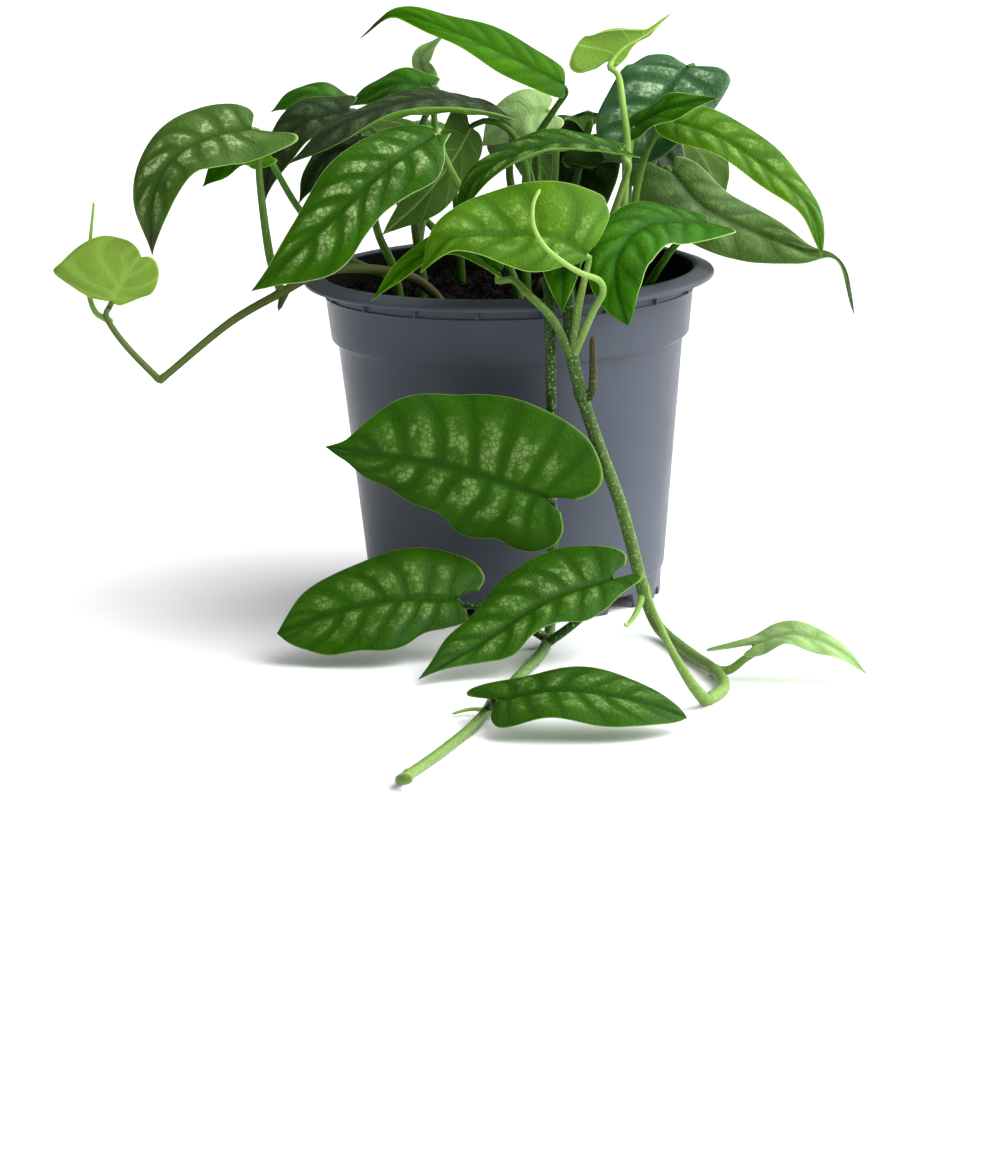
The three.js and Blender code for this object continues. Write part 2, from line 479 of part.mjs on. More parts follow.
// Each stem: its root and the tubes fused into it. A tube that names a leaf ends at that blade's base.
const stemList = [
  { name: "stem_front_left", root: [3, -24], radius: 1.6, tubes: [
    { path: [[-2, -28, 107], [-10, -32, 120], [-17, -34, 134]], leaf: "leaf_front_left" },
  ] },
  { name: "stem_centre", root: [5, 0], radius: 1.8, tubes: [
    { path: [[5, 2, 112], [7, 5, 130], [14, 3, 142]], leaf: "leaf_top_left" },
    { path: [[5, 0.5, 104], [6, -6, 120], [5, -8, 131], [2, -11, 138], [-2, -13, 141.5], [-6, -14, 142.4]],
      leaf: "leaf_centre_left" },
    { path: [[5, 1, 106], [1, -3, 124], [2, -6, 138]], leaf: "leaf_left_long" },
  ] },
  { name: "stem_front_centre", root: [26, -22], radius: 1.5, tubes: [
    { path: [[28, -23.5, 108], [32.5, -25, 122], [35, -28, 130]], leaf: "leaf_centre_arching" },
    { path: [[26, -22.5, 93], [25, -28, 101], [21, -36, 107]], leaf: "leaf_front_tucked" },
  ] },
  { name: "stem_right_tall", root: [34, -12], radius: 1.6, tubes: [
    { path: [[33.5, -13, 113], [35, -17, 134], [34, -17, 146], [33, -12, 154]], leaf: "leaf_top_young" },
    { path: [[34.6, -15.8, 129], [36, -12, 135]], leaf: "leaf_right_small" },
    { path: [[33.9, -12.2, 99], [36.5, -8.5, 109], [37.5, -9, 120], [40.5, -10, 131], [44, -10.5, 137]],
      leaf: "leaf_right_arching" },
  ] },
  { name: "stem_right_back", root: [37, 2], radius: 1.6, tubes: [
    { path: [[38, 3, 104], [42, 6, 115]], leaf: "leaf_right_outer" },
    { path: [[37.3, 2.3, 97], [41, 14, 118], [50, 18, 142]], leaf: "leaf_right_silver" },
    { path: [[37.2, 2.2, 94], [35, 13, 112], [35, 19, 126]], leaf: "leaf_right_inner" },
  ] },
  { name: "stem_front_right", root: [39, -20], radius: 1.5, tubes: [
    { path: [[44, -24, 101], [50, -29, 109]], leaf: "leaf_front_right" },
  ] },
  { name: "stem_left", root: [-25, 2], radius: 1.7, tubes: [
    { path: [[-26, 2, 101], [-27, 0, 114], [-25, 6, 136]], leaf: "leaf_left_bright" },
    { path: [[-26.3, 1.7, 104], [-21, 20, 132], [-21, 25, 142]], leaf: "leaf_left_curled" },
    { path: [[-26.7, 0.5, 110], [-33, 4, 130], [-41, 7, 140]], leaf: "leaf_left_small" },
    { path: [[-26.8, 0.2, 111], [-32, -8, 128], [-36, -12, 137]], leaf: "leaf_left_inner" },
  ] },
  { name: "stem_left_outer", root: [-32, -11], radius: 1.6, tubes: [
    { path: [[-34, -10, 101], [-38, -8, 111], [-41, -5, 130]], leaf: "leaf_left_hanging" },
    { path: [[-33, -10.6, 96], [-49, -20, 106], [-60, -24, 120]], leaf: "leaf_left_lower" },
  ] },
  { name: "stem_back_centre", root: [14, 22], radius: 1.6, tubes: [
    { path: [[14, 24, 112], [15, 24, 130]], leaf: "leaf_centre_pale" },
    { path: [[14, 22.5, 95], [20, 26, 116]], leaf: "leaf_centre_back" },
    { path: [[14, 22.5, 96], [10, 33, 108], [7, 41, 119]], leaf: "leaf_back_centre" },
  ] },
  { name: "stem_back_left", root: [-14, 26], radius: 1.6, tubes: [
    { path: [[-15, 27, 112]], leaf: "leaf_back_left" },
    { path: [[-14.3, 26, 96], [-24, 29, 107]], leaf: "leaf_back_low" },
  ] },
  { name: "stem_back_right", root: [36, 22], radius: 1.6, tubes: [
    { path: [[36, 27, 112]], leaf: "leaf_back_right" },
    { path: [[36, 22.3, 93], [39, 20, 101]], leaf: "leaf_right_low" },
  ] },
  { name: "stem_trail_left", root: [9, -40], radius: 1.6, tubes: [
    { path: [[9.5, -47, 99.5], [10.5, -54, 101.8], [11, -60, 101], [11, -62.8, 96], [11, -63, 80],
      [10.5, -63, 45], [10, -63, 15], [9, -66, 4.5], [8, -75, 2], [5, -95, 2], [0, -115, 2],
      [-4, -135, 2], [-9, -155, 2], [-14, -175, 1.8], [-22, -200, 1.6], [-30, -222, 1.5],
      [-32, -230, 2.2], [-29, -236, 4]], end: 1.4 },
    { path: [[10.5, -63, 37], [10.5, -67, 40]], leaf: "leaf_trail_hanging" },
    { path: [[8, -77, 2.2], [14, -80, 7], [22, -82, 14]], leaf: "leaf_trail_right" },
    { path: [[8, -72, 2.2], [2, -76, 7], [-8, -79, 13]], leaf: "leaf_trail_left" },
    { path: [[-9, -154, 2.2], [-8.5, -160, 5], [-7.5, -165, 7.5]], leaf: "leaf_trail_end" },
    { path: [[-9, -155, 2], [-14, -152, 1.6], [-19, -154, 0.9]], start: 0.7, end: 0.4 },
    { path: [[-9, -156, 2], [-4, -158, 2], [0, -162, 1.2]], start: 0.7, end: 0.4 },
  ] },
  { name: "stem_trail_right", root: [17, -38], radius: 1.9, tubes: [
    { path: [[17, -39.5, 95.5], [16.5, -47, 100], [16, -54, 102], [16, -60, 101.4], [16.5, -63.2, 96],
      [17, -63.7, 83], [19.5, -64, 71], [24, -63.6, 56], [30, -62, 38], [36, -60.5, 13], [39, -63, 4.5],
      [42, -72, 2.2], [48, -95, 2], [54, -118, 2.3], [55.5, -136, 2], [50, -150, 1.8]], end: 1.7 },
    { path: [[17, -63.8, 82], [19, -67, 96]], leaf: "leaf_front_centre" },
    { path: [[17, -63.8, 81], [12, -67.5, 93], [5, -66, 100.5], [1, -60, 103.5]],
      leaf: "leaf_front_narrow" },
    { path: [[17, -63.8, 81], [23, -68, 95], [26, -71, 101], [25, -73, 105], [20, -78, 108], [15, -83, 112],
      [10, -86, 117], [7, -87, 123], [7, -86, 129], [9, -84, 133]], start: 1.2, end: 0.5 },
    { path: [[19.5, -64, 70], [22.5, -65, 72], [23, -66, 88]], start: 1.3, end: 0.9 },
    { path: [[36, -60.5, 13], [34, -64, 8], [31, -67, 4.5], [30, -68.5, 5.5]], start: 1.2, end: 0.5 },
    { path: [[54, -118, 2.5], [58, -119, 3], [62, -119.5, 6]], leaf: "leaf_trail_small" },
    { path: [[50, -150, 1.8], [46, -155, 8], [40, -160, 20], [35, -164, 34], [34.5, -165, 38]],
      start: 1.8, end: 0.4 },
  ] },
  { name: "stem_left_arching", root: [-20, -24], radius: 1.7, tubes: [
    { path: [[-28, -27.5, 99.5], [-42, -33, 103.5], [-54, -39, 103.5], [-65, -44, 99], [-80, -46, 91],
      [-100, -50, 76], [-110, -48, 86], [-115, -44, 93]], leaf: "leaf_left_young" },
    { path: [[-65, -44, 99], [-68, -42, 109], [-70, -39, 126], [-70.5, -38, 136]], leaf: "leaf_left_outer" },
    { path: [[-114, -44.4, 92], [-119, -38, 94.5], [-120.5, -35, 104], [-118, -34, 125]],
      start: 1, end: 0.4 },
    { path: [[-64, -43.4, 99.4], [-66, -45.5, 94]], start: 1.5, end: 0.5 },
  ] },
];

const defaultPetiole = { start: 1.4, end: 0.85 };

// A petiole bends at its knee and meets the blade from behind its base and beneath it.
const petioleKnee = { back: 1.8, down: 2.6 };
const petioleEnd = { back: 0.6, down: 1 };

function tubePoints(stem, tube, index) {
  const points = tube.path.map(vector);
  if (index === 0) points.unshift(...buried(...stem.root).map(vector));
  if (tube.leaf) {
    const leaf = leaves.get(tube.leaf);
    const tangent = leaf.curve.getTangentAt(0);
    const up = leaf.face[0].clone().addScaledVector(tangent, -leaf.face[0].dot(tangent)).normalize();
    const beneath = ({ back, down }) => vector(leaf.midrib[0])
      .addScaledVector(tangent, -back)
      .addScaledVector(up, -down);
    points.push(beneath(petioleKnee), beneath(petioleEnd));
  }
  return points;
}

function makeStem(stem) {
  const solids = stem.tubes.map((tube, index) => {
    const start = index === 0 ? stem.radius : tube.start ?? defaultPetiole.start;
    const end = tube.end ?? defaultPetiole.end;
    return solidOf(taperedTube(tubePoints(stem, tube, index), start, end));
  });
  const fused = solids.reduce((whole, solid) => whole.add(solid)).simplify(smallestEdge);
  return namedMesh(stem.name, geometryOf(fused), stemGreen);
}

// Soil

function makeSoil() {
  const rings = 4;
  const segments = 28;
  const side = [
    [footRadius - wall - clearance, plateTop + clearance],
    [skirtTop.radius - wall - clearance, skirtTop.z],
    [stepRadius - wall - clearance, stepZ - 0.2],
    [collarBottomRadius - wall - clearance, soilTop - 9],
  ];
  const edge = collarBottomRadius - wall - clearance + 0.4;
  const top = Array.from({ length: rings }, (_, i) => [edge * (1 - i / rings), soilTop]);
  const outline = [[0, plateTop + clearance], ...side, ...top, [0, soilTop]];
  const geometry = turned(outline.map(([radius, z]) => new THREE.Vector2(radius, z)), segments);
  const position = geometry.attributes.position;
  for (let i = 0; i < position.count; i++) {
    const x = position.getX(i);
    const y = position.getY(i);
    const lumps = Math.sin(0.31 * x + 1) * Math.cos(0.27 * y) + 0.6 * Math.sin(0.55 * (x + y));
    if (position.getZ(i) > soilTop - 1) position.setZ(i, soilTop + 0.9 * lumps);
  }
  let solid = solidOf(geometry);
  for (const stem of stemList) {
    const depth = rootDepth + clearance;
    const holeRadius = stem.radius + 2 * clearance;
    const hole = new THREE.CylinderGeometry(holeRadius, holeRadius, depth + 8, 8)
      .rotateX(Math.PI / 2)
      .translate(...stem.root, soilTop - depth / 2 + 4);
    solid = solid.subtract(solidOf(hole));
  }
  return namedMesh("soil", geometryOf(solid), earth);
}

// Assembly

const plant = new THREE.Group();
plant.add(makePot(), makeSoil());
stemList.forEach((stem) => plant.add(makeStem(stem)));
leafList.forEach((leaf) => plant.add(makeLeaf(leaf)));

// The part's origin is under the middle of its bounding box, on the surface it stands on.
const bounds = new THREE.Box3().setFromObject(plant);
const middle = bounds.getCenter(new THREE.Vector3());
plant.position.set(-middle.x, -middle.y, -bounds.min.z);
const pottedMonstera = new THREE.Group();
pottedMonstera.add(plant);

export default pottedMonstera;
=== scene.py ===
import math

import bmesh
import bpy
import numpy as np
from mathutils import Matrix, Vector


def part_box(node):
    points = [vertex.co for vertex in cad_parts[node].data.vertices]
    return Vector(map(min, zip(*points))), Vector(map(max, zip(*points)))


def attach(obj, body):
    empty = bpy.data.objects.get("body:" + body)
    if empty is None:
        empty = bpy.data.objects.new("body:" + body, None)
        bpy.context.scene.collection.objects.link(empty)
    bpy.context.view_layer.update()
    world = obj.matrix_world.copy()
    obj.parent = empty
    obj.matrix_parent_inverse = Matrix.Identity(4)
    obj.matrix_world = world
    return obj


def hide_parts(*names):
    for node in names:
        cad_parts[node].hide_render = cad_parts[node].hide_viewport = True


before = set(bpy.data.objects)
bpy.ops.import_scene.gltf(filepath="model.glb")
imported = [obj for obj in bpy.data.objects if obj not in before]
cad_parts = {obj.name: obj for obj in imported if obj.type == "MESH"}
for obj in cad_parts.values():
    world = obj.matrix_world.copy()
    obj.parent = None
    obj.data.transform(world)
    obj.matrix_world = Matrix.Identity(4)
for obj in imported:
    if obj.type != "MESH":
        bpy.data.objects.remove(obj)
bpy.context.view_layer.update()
mm = 0.001

potLow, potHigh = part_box("pot")
plantOrigin = np.array([(potLow.x + potHigh.x) / 2, (potLow.y + potHigh.y) / 2, potLow.z])
print("frame loaded:", len(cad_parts), "nodes")


# Helpers

def linearColour(code):
    # sRGB hex to the linear values that a socket takes
    channels = [int(code[i:i + 2], 16) / 255 for i in (1, 3, 5)]
    return (*[c / 12.92 if c <= 0.04045 else ((c + 0.055) / 1.055) ** 2.4 for c in channels], 1.0)


def addNode(tree, kind, inputs=None, **settings):
    # adds a node, sets its properties, and links or fills its inputs by name or number
    node = tree.nodes.new(kind)
    for key, value in settings.items():
        setattr(node, key, value)
    for key, value in (inputs or {}).items():
        if isinstance(value, bpy.types.NodeSocket):
            tree.links.new(value, node.inputs[key])
        elif isinstance(value, str) and value.startswith("#"):
            node.inputs[key].default_value = linearColour(value)
        else:
            node.inputs[key].default_value = value
    return node


# sorts of node in the rows of a material: the node, its settings, the inputs in order and the output
nodeSorts = {
    "sum": ("ShaderNodeMath", {"operation": "ADD"}, (0, 1), 0),
    "product": ("ShaderNodeMath", {"operation": "MULTIPLY"}, (0, 1), 0),
    "scaled": ("ShaderNodeMath", {"operation": "MULTIPLY_ADD"}, (0, 1, 2), 0),
    "size": ("ShaderNodeMath", {"operation": "ABSOLUTE"}, (0,), 0),
    "folded": ("ShaderNodeMath", {"operation": "PINGPONG"}, (0, 1), 0),
    "ramp": ("ShaderNodeMapRange", {}, (0, 1, 2, 3, 4), 0),
    "ease": ("ShaderNodeMapRange", {"interpolation_type": "SMOOTHSTEP"}, (0, 1, 2, 3, 4), 0),
    "layer": ("ShaderNodeMix", {"data_type": "RGBA"}, (0, 6, 7), 2),
    "noise": ("ShaderNodeTexNoise", {}, ("Vector", "Scale", "Detail", "Roughness"), 0),
    "netting": ("ShaderNodeTexVoronoi", {"feature": "DISTANCE_TO_EDGE"}, ("Vector", "Scale"), "Distance"),
    "patches": ("ShaderNodeTexVoronoi", {}, ("Vector", "Scale"), "Color"),
    "first": ("ShaderNodeSeparateXYZ", {}, (0,), 0),
    "second": ("ShaderNodeSeparateXYZ", {}, (0,), 1),
    "bladeMap": ("ShaderNodeUVMap", {"uv_map": "bladeMap"}, (), 0),
    "stemMap": ("ShaderNodeUVMap", {"uv_map": "stemMap"}, (), 0),
    "stretched": ("ShaderNodeMapping", {}, (0, 3), 0),
}


def newMaterial(name, sockets):
    # constants sit on the shader's sockets
    material = bpy.data.materials.new(name)
    material.use_nodes = True
    shader = material.node_tree.nodes["Principled BSDF"]
    for key, value in sockets.items():
        shader.inputs[key].default_value = value
    return material, material.node_tree, shader


def makeMaterial(name, sockets, look, stored, rows, strength, depth):
    # A row names its result, its sort of node and what goes in: a number, or the name of an earlier result,
    # of a value of the look or of a number stored on the mesh. The results colour, height (as a relief of
    # this strength and depth) and, where it varies, gloss end in the shader.
    material, tree, shader = newMaterial(name, sockets)
    made = {**look, "place": addNode(tree, "ShaderNodeTexCoord").outputs["Object"]}
    for key in stored:
        made[key] = addNode(tree, "ShaderNodeAttribute", attribute_name=key).outputs["Fac"]
    for result, sort, *values in rows:
        kind, settings, inputs, output = nodeSorts[sort]
        given = {place: made.get(value, value) for place, value in zip(inputs, values)}
        made[result] = addNode(tree, kind, given, **settings).outputs[output]
    relief = addNode(tree, "ShaderNodeBump",
                     {"Strength": strength, "Distance": depth, "Height": made["height"]})
    tree.links.new(relief.outputs[0], shader.inputs["Normal"])
    tree.links.new(made["colour"], shader.inputs["Base Color"])
    if "gloss" in made:
        tree.links.new(made["gloss"], shader.inputs["Roughness"])
    return material


def toMetres(points):
    # plant millimetres to metres in the part's frame
    return np.asarray(points, float) * mm + plantOrigin


def addObject(name, mesh):
    made = bpy.data.objects.new(name, mesh)
    bpy.context.scene.collection.objects.link(made)
    return made


def meshObject(name, vertices, faces, material):
    mesh = bpy.data.meshes.new(name)
    mesh.from_pydata([tuple(v) for v in vertices], [], faces)
    mesh.materials.append(material)
    mesh.polygons.foreach_set("use_smooth", [True] * len(mesh.polygons))
    mesh.update()
    return addObject(name, mesh)


def storeValues(mesh, label, values):
    # a number at each vertex, for the materials and node trees to read
    mesh.attributes.new(label, "FLOAT", "POINT").data.foreach_set("value", np.asarray(values, np.float32))


def storeMap(mesh, label, places):
    # a UV map from a place for each vertex
    corners = np.zeros(len(mesh.loops), int)
    mesh.loops.foreach_get("vertex_index", corners)
    mesh.uv_layers.new(name=label).data.foreach_set("uv", places[corners].astype(np.float32).ravel())


def keepResult(made):
    # replaces the object's mesh by the plain mesh that its modifiers make
    bpy.context.view_layer.update()
    depsgraph = bpy.context.evaluated_depsgraph_get()
    result = bpy.data.meshes.new_from_object(made.evaluated_get(depsgraph), preserve_all_data_layers=True,
                                             depsgraph=depsgraph)
    made.modifiers.clear()
    old, made.data = made.data, result
    bpy.data.meshes.remove(old)
    result.name = made.name


def newTree(name, inputs):
    # a geometry tree with a geometry socket in and out, and the named inputs between
    tree = bpy.data.node_groups.new(name, "GeometryNodeTree")
    tree.interface.new_socket("Geometry", in_out="INPUT", socket_type="NodeSocketGeometry")
    for label, kind in inputs.items():
        tree.interface.new_socket(label, in_out="INPUT", socket_type=f"NodeSocket{kind}")
    tree.interface.new_socket("Geometry", in_out="OUTPUT", socket_type="NodeSocketGeometry")
    return tree, addNode(tree, "NodeGroupInput").outputs


def finishTree(tree, geometry, material):
    dressed = addNode(tree, "GeometryNodeSetMaterial", {"Geometry": geometry, "Material": material})
    addNode(tree, "NodeGroupOutput", {0: dressed.outputs[0]})
    return tree


def bakeNodes(made, tree, values):
    # gives the object the tree with its inputs set, and keeps only the plain mesh it makes
    modifier = made.modifiers.new(tree.name, "NODES")
    modifier.node_group = tree
    for item in tree.interface.items_tree:
        if item.in_out == "INPUT" and item.name in values:
            modifier[item.identifier] = values[item.name]
    keepResult(made)


def sampledCurve(points, perSpan=40):
    # a uniform Catmull-Rom curve through the points: dense samples, their shares of the length, the length
    p = np.asarray(points, float)
    p = np.vstack([2 * p[0] - p[1], p, 2 * p[-1] - p[-2]])
    t = np.linspace(0, 1, perSpan, endpoint=False)[:, None]
    spans = []
    for a, b, c, d in zip(p[:-3], p[1:-2], p[2:-1], p[3:]):
        startSlope, endSlope = (c - a) / 2, (d - b) / 2
        spans.append(b + t * startSlope + t ** 2 * (3 * (c - b) - 2 * startSlope - endSlope)
                     + t ** 3 * (startSlope + endSlope - 2 * (c - b)))
    dense = np.vstack([*spans, p[-2:-1]])
    reach = np.concatenate([[0], np.cumsum(np.linalg.norm(np.diff(dense, axis=0), axis=1))])
    return dense, reach / reach[-1], reach[-1]


def curvePoint(curve, share):
    dense, shares, _ = curve
    return np.stack([np.interp(share, shares, dense[:, k]) for k in range(3)], axis=-1)


def curveTangent(curve, share, reach=0.004):
    ahead, behind = (curvePoint(curve, np.clip(share + away, 0, 1)) for away in (reach, -reach))
    return unit(ahead - behind)


def unit(vectors):
    return vectors / np.linalg.norm(vectors, axis=-1, keepdims=True)


def smoothStep(low, high, value):
    t = np.clip((value - low) / (high - low), 0, 1)
    return t * t * (3 - 2 * t)


# Leaf materials

# Leaf blade: waxy skin over soft tissue, grown in one piece. Deep green along the sunken veins, silvery
# where air lies under the skin between them, matt and paler beneath.
leafLooks = {
    "middle": {"base": "#305d02", "deep": "#275002", "vein": "#204602", "silver": "#9cb574",
               "under": "#6d9140", "edge": "#a9c680", "patch": 0.66, "roughness": 0.34, "specular": 0.1},
    # greyed base: painted sheen; the fuller silver share is the leaf's own pattern
    "sheenGreyed": {"base": "#405f1f", "deep": "#345216", "vein": "#2b490e", "silver": "#9cb27a",
               "under": "#708e48", "edge": "#86a850", "patch": 0.72, "roughness": 0.36, "specular": 0.12},
    "shaded": {"base": "#2a5402", "deep": "#224802", "vein": "#1a3a02", "silver": "#718d4c",
               "under": "#5f8238", "edge": "#6d9040", "patch": 0.66, "roughness": 0.36, "specular": 0.08},
    "fresh": {"base": "#2f6502", "deep": "#235002", "vein": "#1b4402", "silver": "#6f9946",
              "under": "#7b9f48", "edge": "#a3c566", "patch": 0.2, "roughness": 0.34, "specular": 0.06},
    "sunlit": {"base": "#477105", "deep": "#396203", "vein": "#2d5203", "silver": "#8fa85a",
               "under": "#7fa34e", "edge": "#a9ca6c", "patch": 0.42, "roughness": 0.34, "specular": 0.08},
    "bright": {"base": "#376701", "deep": "#2b5701", "vein": "#234c01", "silver": "#5c8614",
               "under": "#729640", "edge": "#6f9a30", "patch": 0.15, "roughness": 0.34, "specular": 0.02},
    # darker green: painted shade for leaves in the crown's shade; its greyish silver is partly painted
    # sheen
    "dark": {"base": "#253811", "deep": "#18280a", "vein": "#121f07", "silver": "#5f7355",
             "under": "#4f7a22", "edge": "#86a85a", "patch": 0.4, "roughness": 0.38, "specular": 0.2},
    # darker green: painted shade, for leaves deep in the crown and at the back
    "dusky": {"base": "#253c10", "deep": "#192a09", "vein": "#132107", "silver": "#566a4a",
              "under": "#365618", "edge": "#6f9045", "patch": 0.4, "roughness": 0.4, "specular": 0.12},
    # paled, greyed green: painted sheen of light falling at a grazing angle
    "grazingSheen": {"base": "#4d6c2c", "deep": "#3e5a22", "vein": "#324c1a", "silver": "#86a46c",
             "under": "#6d8c50", "edge": "#93ab72", "patch": 0.3, "roughness": 0.42, "specular": 0.2},
    "young": {"base": "#7b993b", "deep": "#6c8c31", "vein": "#88ab49", "silver": "#8dae57",
              "under": "#6e9234", "edge": "#b8d580", "patch": 0.2, "roughness": 0.42, "specular": 0.1},
    "pale": {"base": "#8fae6c", "deep": "#7f9f5e", "vein": "#6e9050", "silver": "#a9c094",
             "under": "#9cb67e", "edge": "#b9cf98", "patch": 0.4, "roughness": 0.45, "specular": 0.15},
    "silver": {"base": "#406e38", "deep": "#2a542a", "vein": "#1a3d1c", "silver": "#b2cdaa",
               "under": "#5a7a58", "edge": "#7a9b78", "patch": 0.85, "roughness": 0.3, "specular": 0.35},
}
leafSkin = {"IOR": 1.42, "Subsurface Weight": 0.1, "Subsurface Radius": (0.5, 1.0, 0.2),
            "Subsurface Scale": 0.001}
leafStored = ["veinPhase", "edgeDistance", "midribDistance", "upperSide", "dryTip"]
# Noises have so many cycles a metre. A lateral vein lies where the wandering phase is whole, and the gap
# from it is a share of the field between two. The distances from midrib and edge are in millimetres.
leafRows = [
    ("map", "bladeMap"), ("bladeWidth", "first", "map"), ("along", "second", "map"),
    ("fromMiddle", "scaled", "bladeWidth", 2.0, -1.0), ("across", "size", "fromMiddle"),
    ("wander", "noise", "place", 320.0, 2.0), ("shift", "scaled", "wander", 0.16, -0.08),
    ("phase", "sum", "veinPhase", "shift"), ("gap", "folded", "phase", 0.5),
    ("cloud", "noise", "place", 55.0, 3.0), ("tone", "ease", "cloud", 0.32, 0.68, 0.0, 1.0),
    ("veinBand", "ease", "gap", 0.0, 0.3, 1.0, 0.0), ("veinShade", "product", "veinBand", 0.55),
    ("veinLine", "ease", "gap", 0.0, 0.06, 1.0, 0.0), ("veinBeneath", "product", "veinLine", 0.35),
    ("midribBand", "ease", "midribDistance", 0.5, 2.0, 1.0, 0.0),
    ("midribLine", "ease", "midribDistance", 0.15, 0.6, 1.0, 0.0),
    ("midribShade", "product", "midribBand", 0.6), ("midribAbove", "product", "midribLine", 0.5),
    ("midribBeneath", "product", "midribLine", 0.6),
    # silver: flecked blocks in each field between two laterals, crossed by the fine vein net
    ("netDistance", "netting", "place", 560.0), ("net", "ease", "netDistance", 0.02, 0.15, 0.3, 1.0),
    ("fleck", "noise", "place", 260.0, 6.0, 0.62), ("flecks", "ease", "fleck", 0.42, 0.58, 0.12, 1.0),
    ("silverShare", "ease", "gap", 0.14, 0.3, 0.0, 1.0),
    ("offMidrib", "ease", "midribDistance", 1.0, 2.6, 0.0, 1.0),
    ("offMargin", "ease", "across", 0.48, 0.78, 1.0, 0.0),
    ("pastBase", "ease", "along", 0.06, 0.24, 0.0, 1.0),
    ("beforeTip", "ease", "along", 0.72, 0.93, 1.0, 0.0),
    *[("silverShare", "product", "silverShare", factor)
      for factor in ("offMidrib", "offMargin", "pastBase", "beforeTip", "flecks", "net", "patch")],
    # the upper side, the paler side beneath, the thin pale margin, and the dry tip of some blades
    ("above", "layer", "tone", "deep", "base"), ("above", "layer", "veinShade", "above", "vein"),
    ("above", "layer", "silverShare", "above", "silver"),
    ("above", "layer", "midribShade", "above", "vein"), ("above", "layer", "midribAbove", "above", "vein"),
    ("beneath", "layer", "veinBeneath", "under", "edge"),
    ("beneath", "layer", "midribBeneath", "beneath", "edge"),
    ("margin", "ease", "edgeDistance", 0.08, 0.3, 0.7, 0.0),
    ("marginFade", "ease", "along", 0.8, 0.97, 1.0, 0.2),
    ("marginShare", "product", "margin", "marginFade"),
    ("tip", "ease", "along", 0.86, 0.93, 0.0, 1.0), ("dryShare", "product", "tip", "dryTip"),
    ("colour", "layer", "upperSide", "beneath", "above"),
    ("colour", "layer", "marginShare", "colour", "edge"),
    ("colour", "layer", "dryShare", "colour", "#2e2a22"),
    # relief: puckered cells between the laterals, and the fine net a hair below them
    ("pucker", "noise", "place", 210.0, 2.0), ("cells", "scaled", "veinLine", -0.1, "pucker"),
    ("height", "scaled", "net", 0.25, "cells"),
    ("rough", "scaled", "silverShare", 0.12, "roughness"),
    ("gloss", "ramp", "upperSide", 0.0, 1.0, 0.6, "rough"),
]
leafMaterials = {}
for key, look in leafLooks.items():
    sockets = {**leafSkin, "Roughness": look["roughness"], "Specular IOR Level": look["specular"]}
    leafMaterials[key] = makeMaterial(f"leafBlade_{key}", sockets, look, leafStored, leafRows, 0.5, 0.0007)
print("leaf materials made")


# Leaf blades

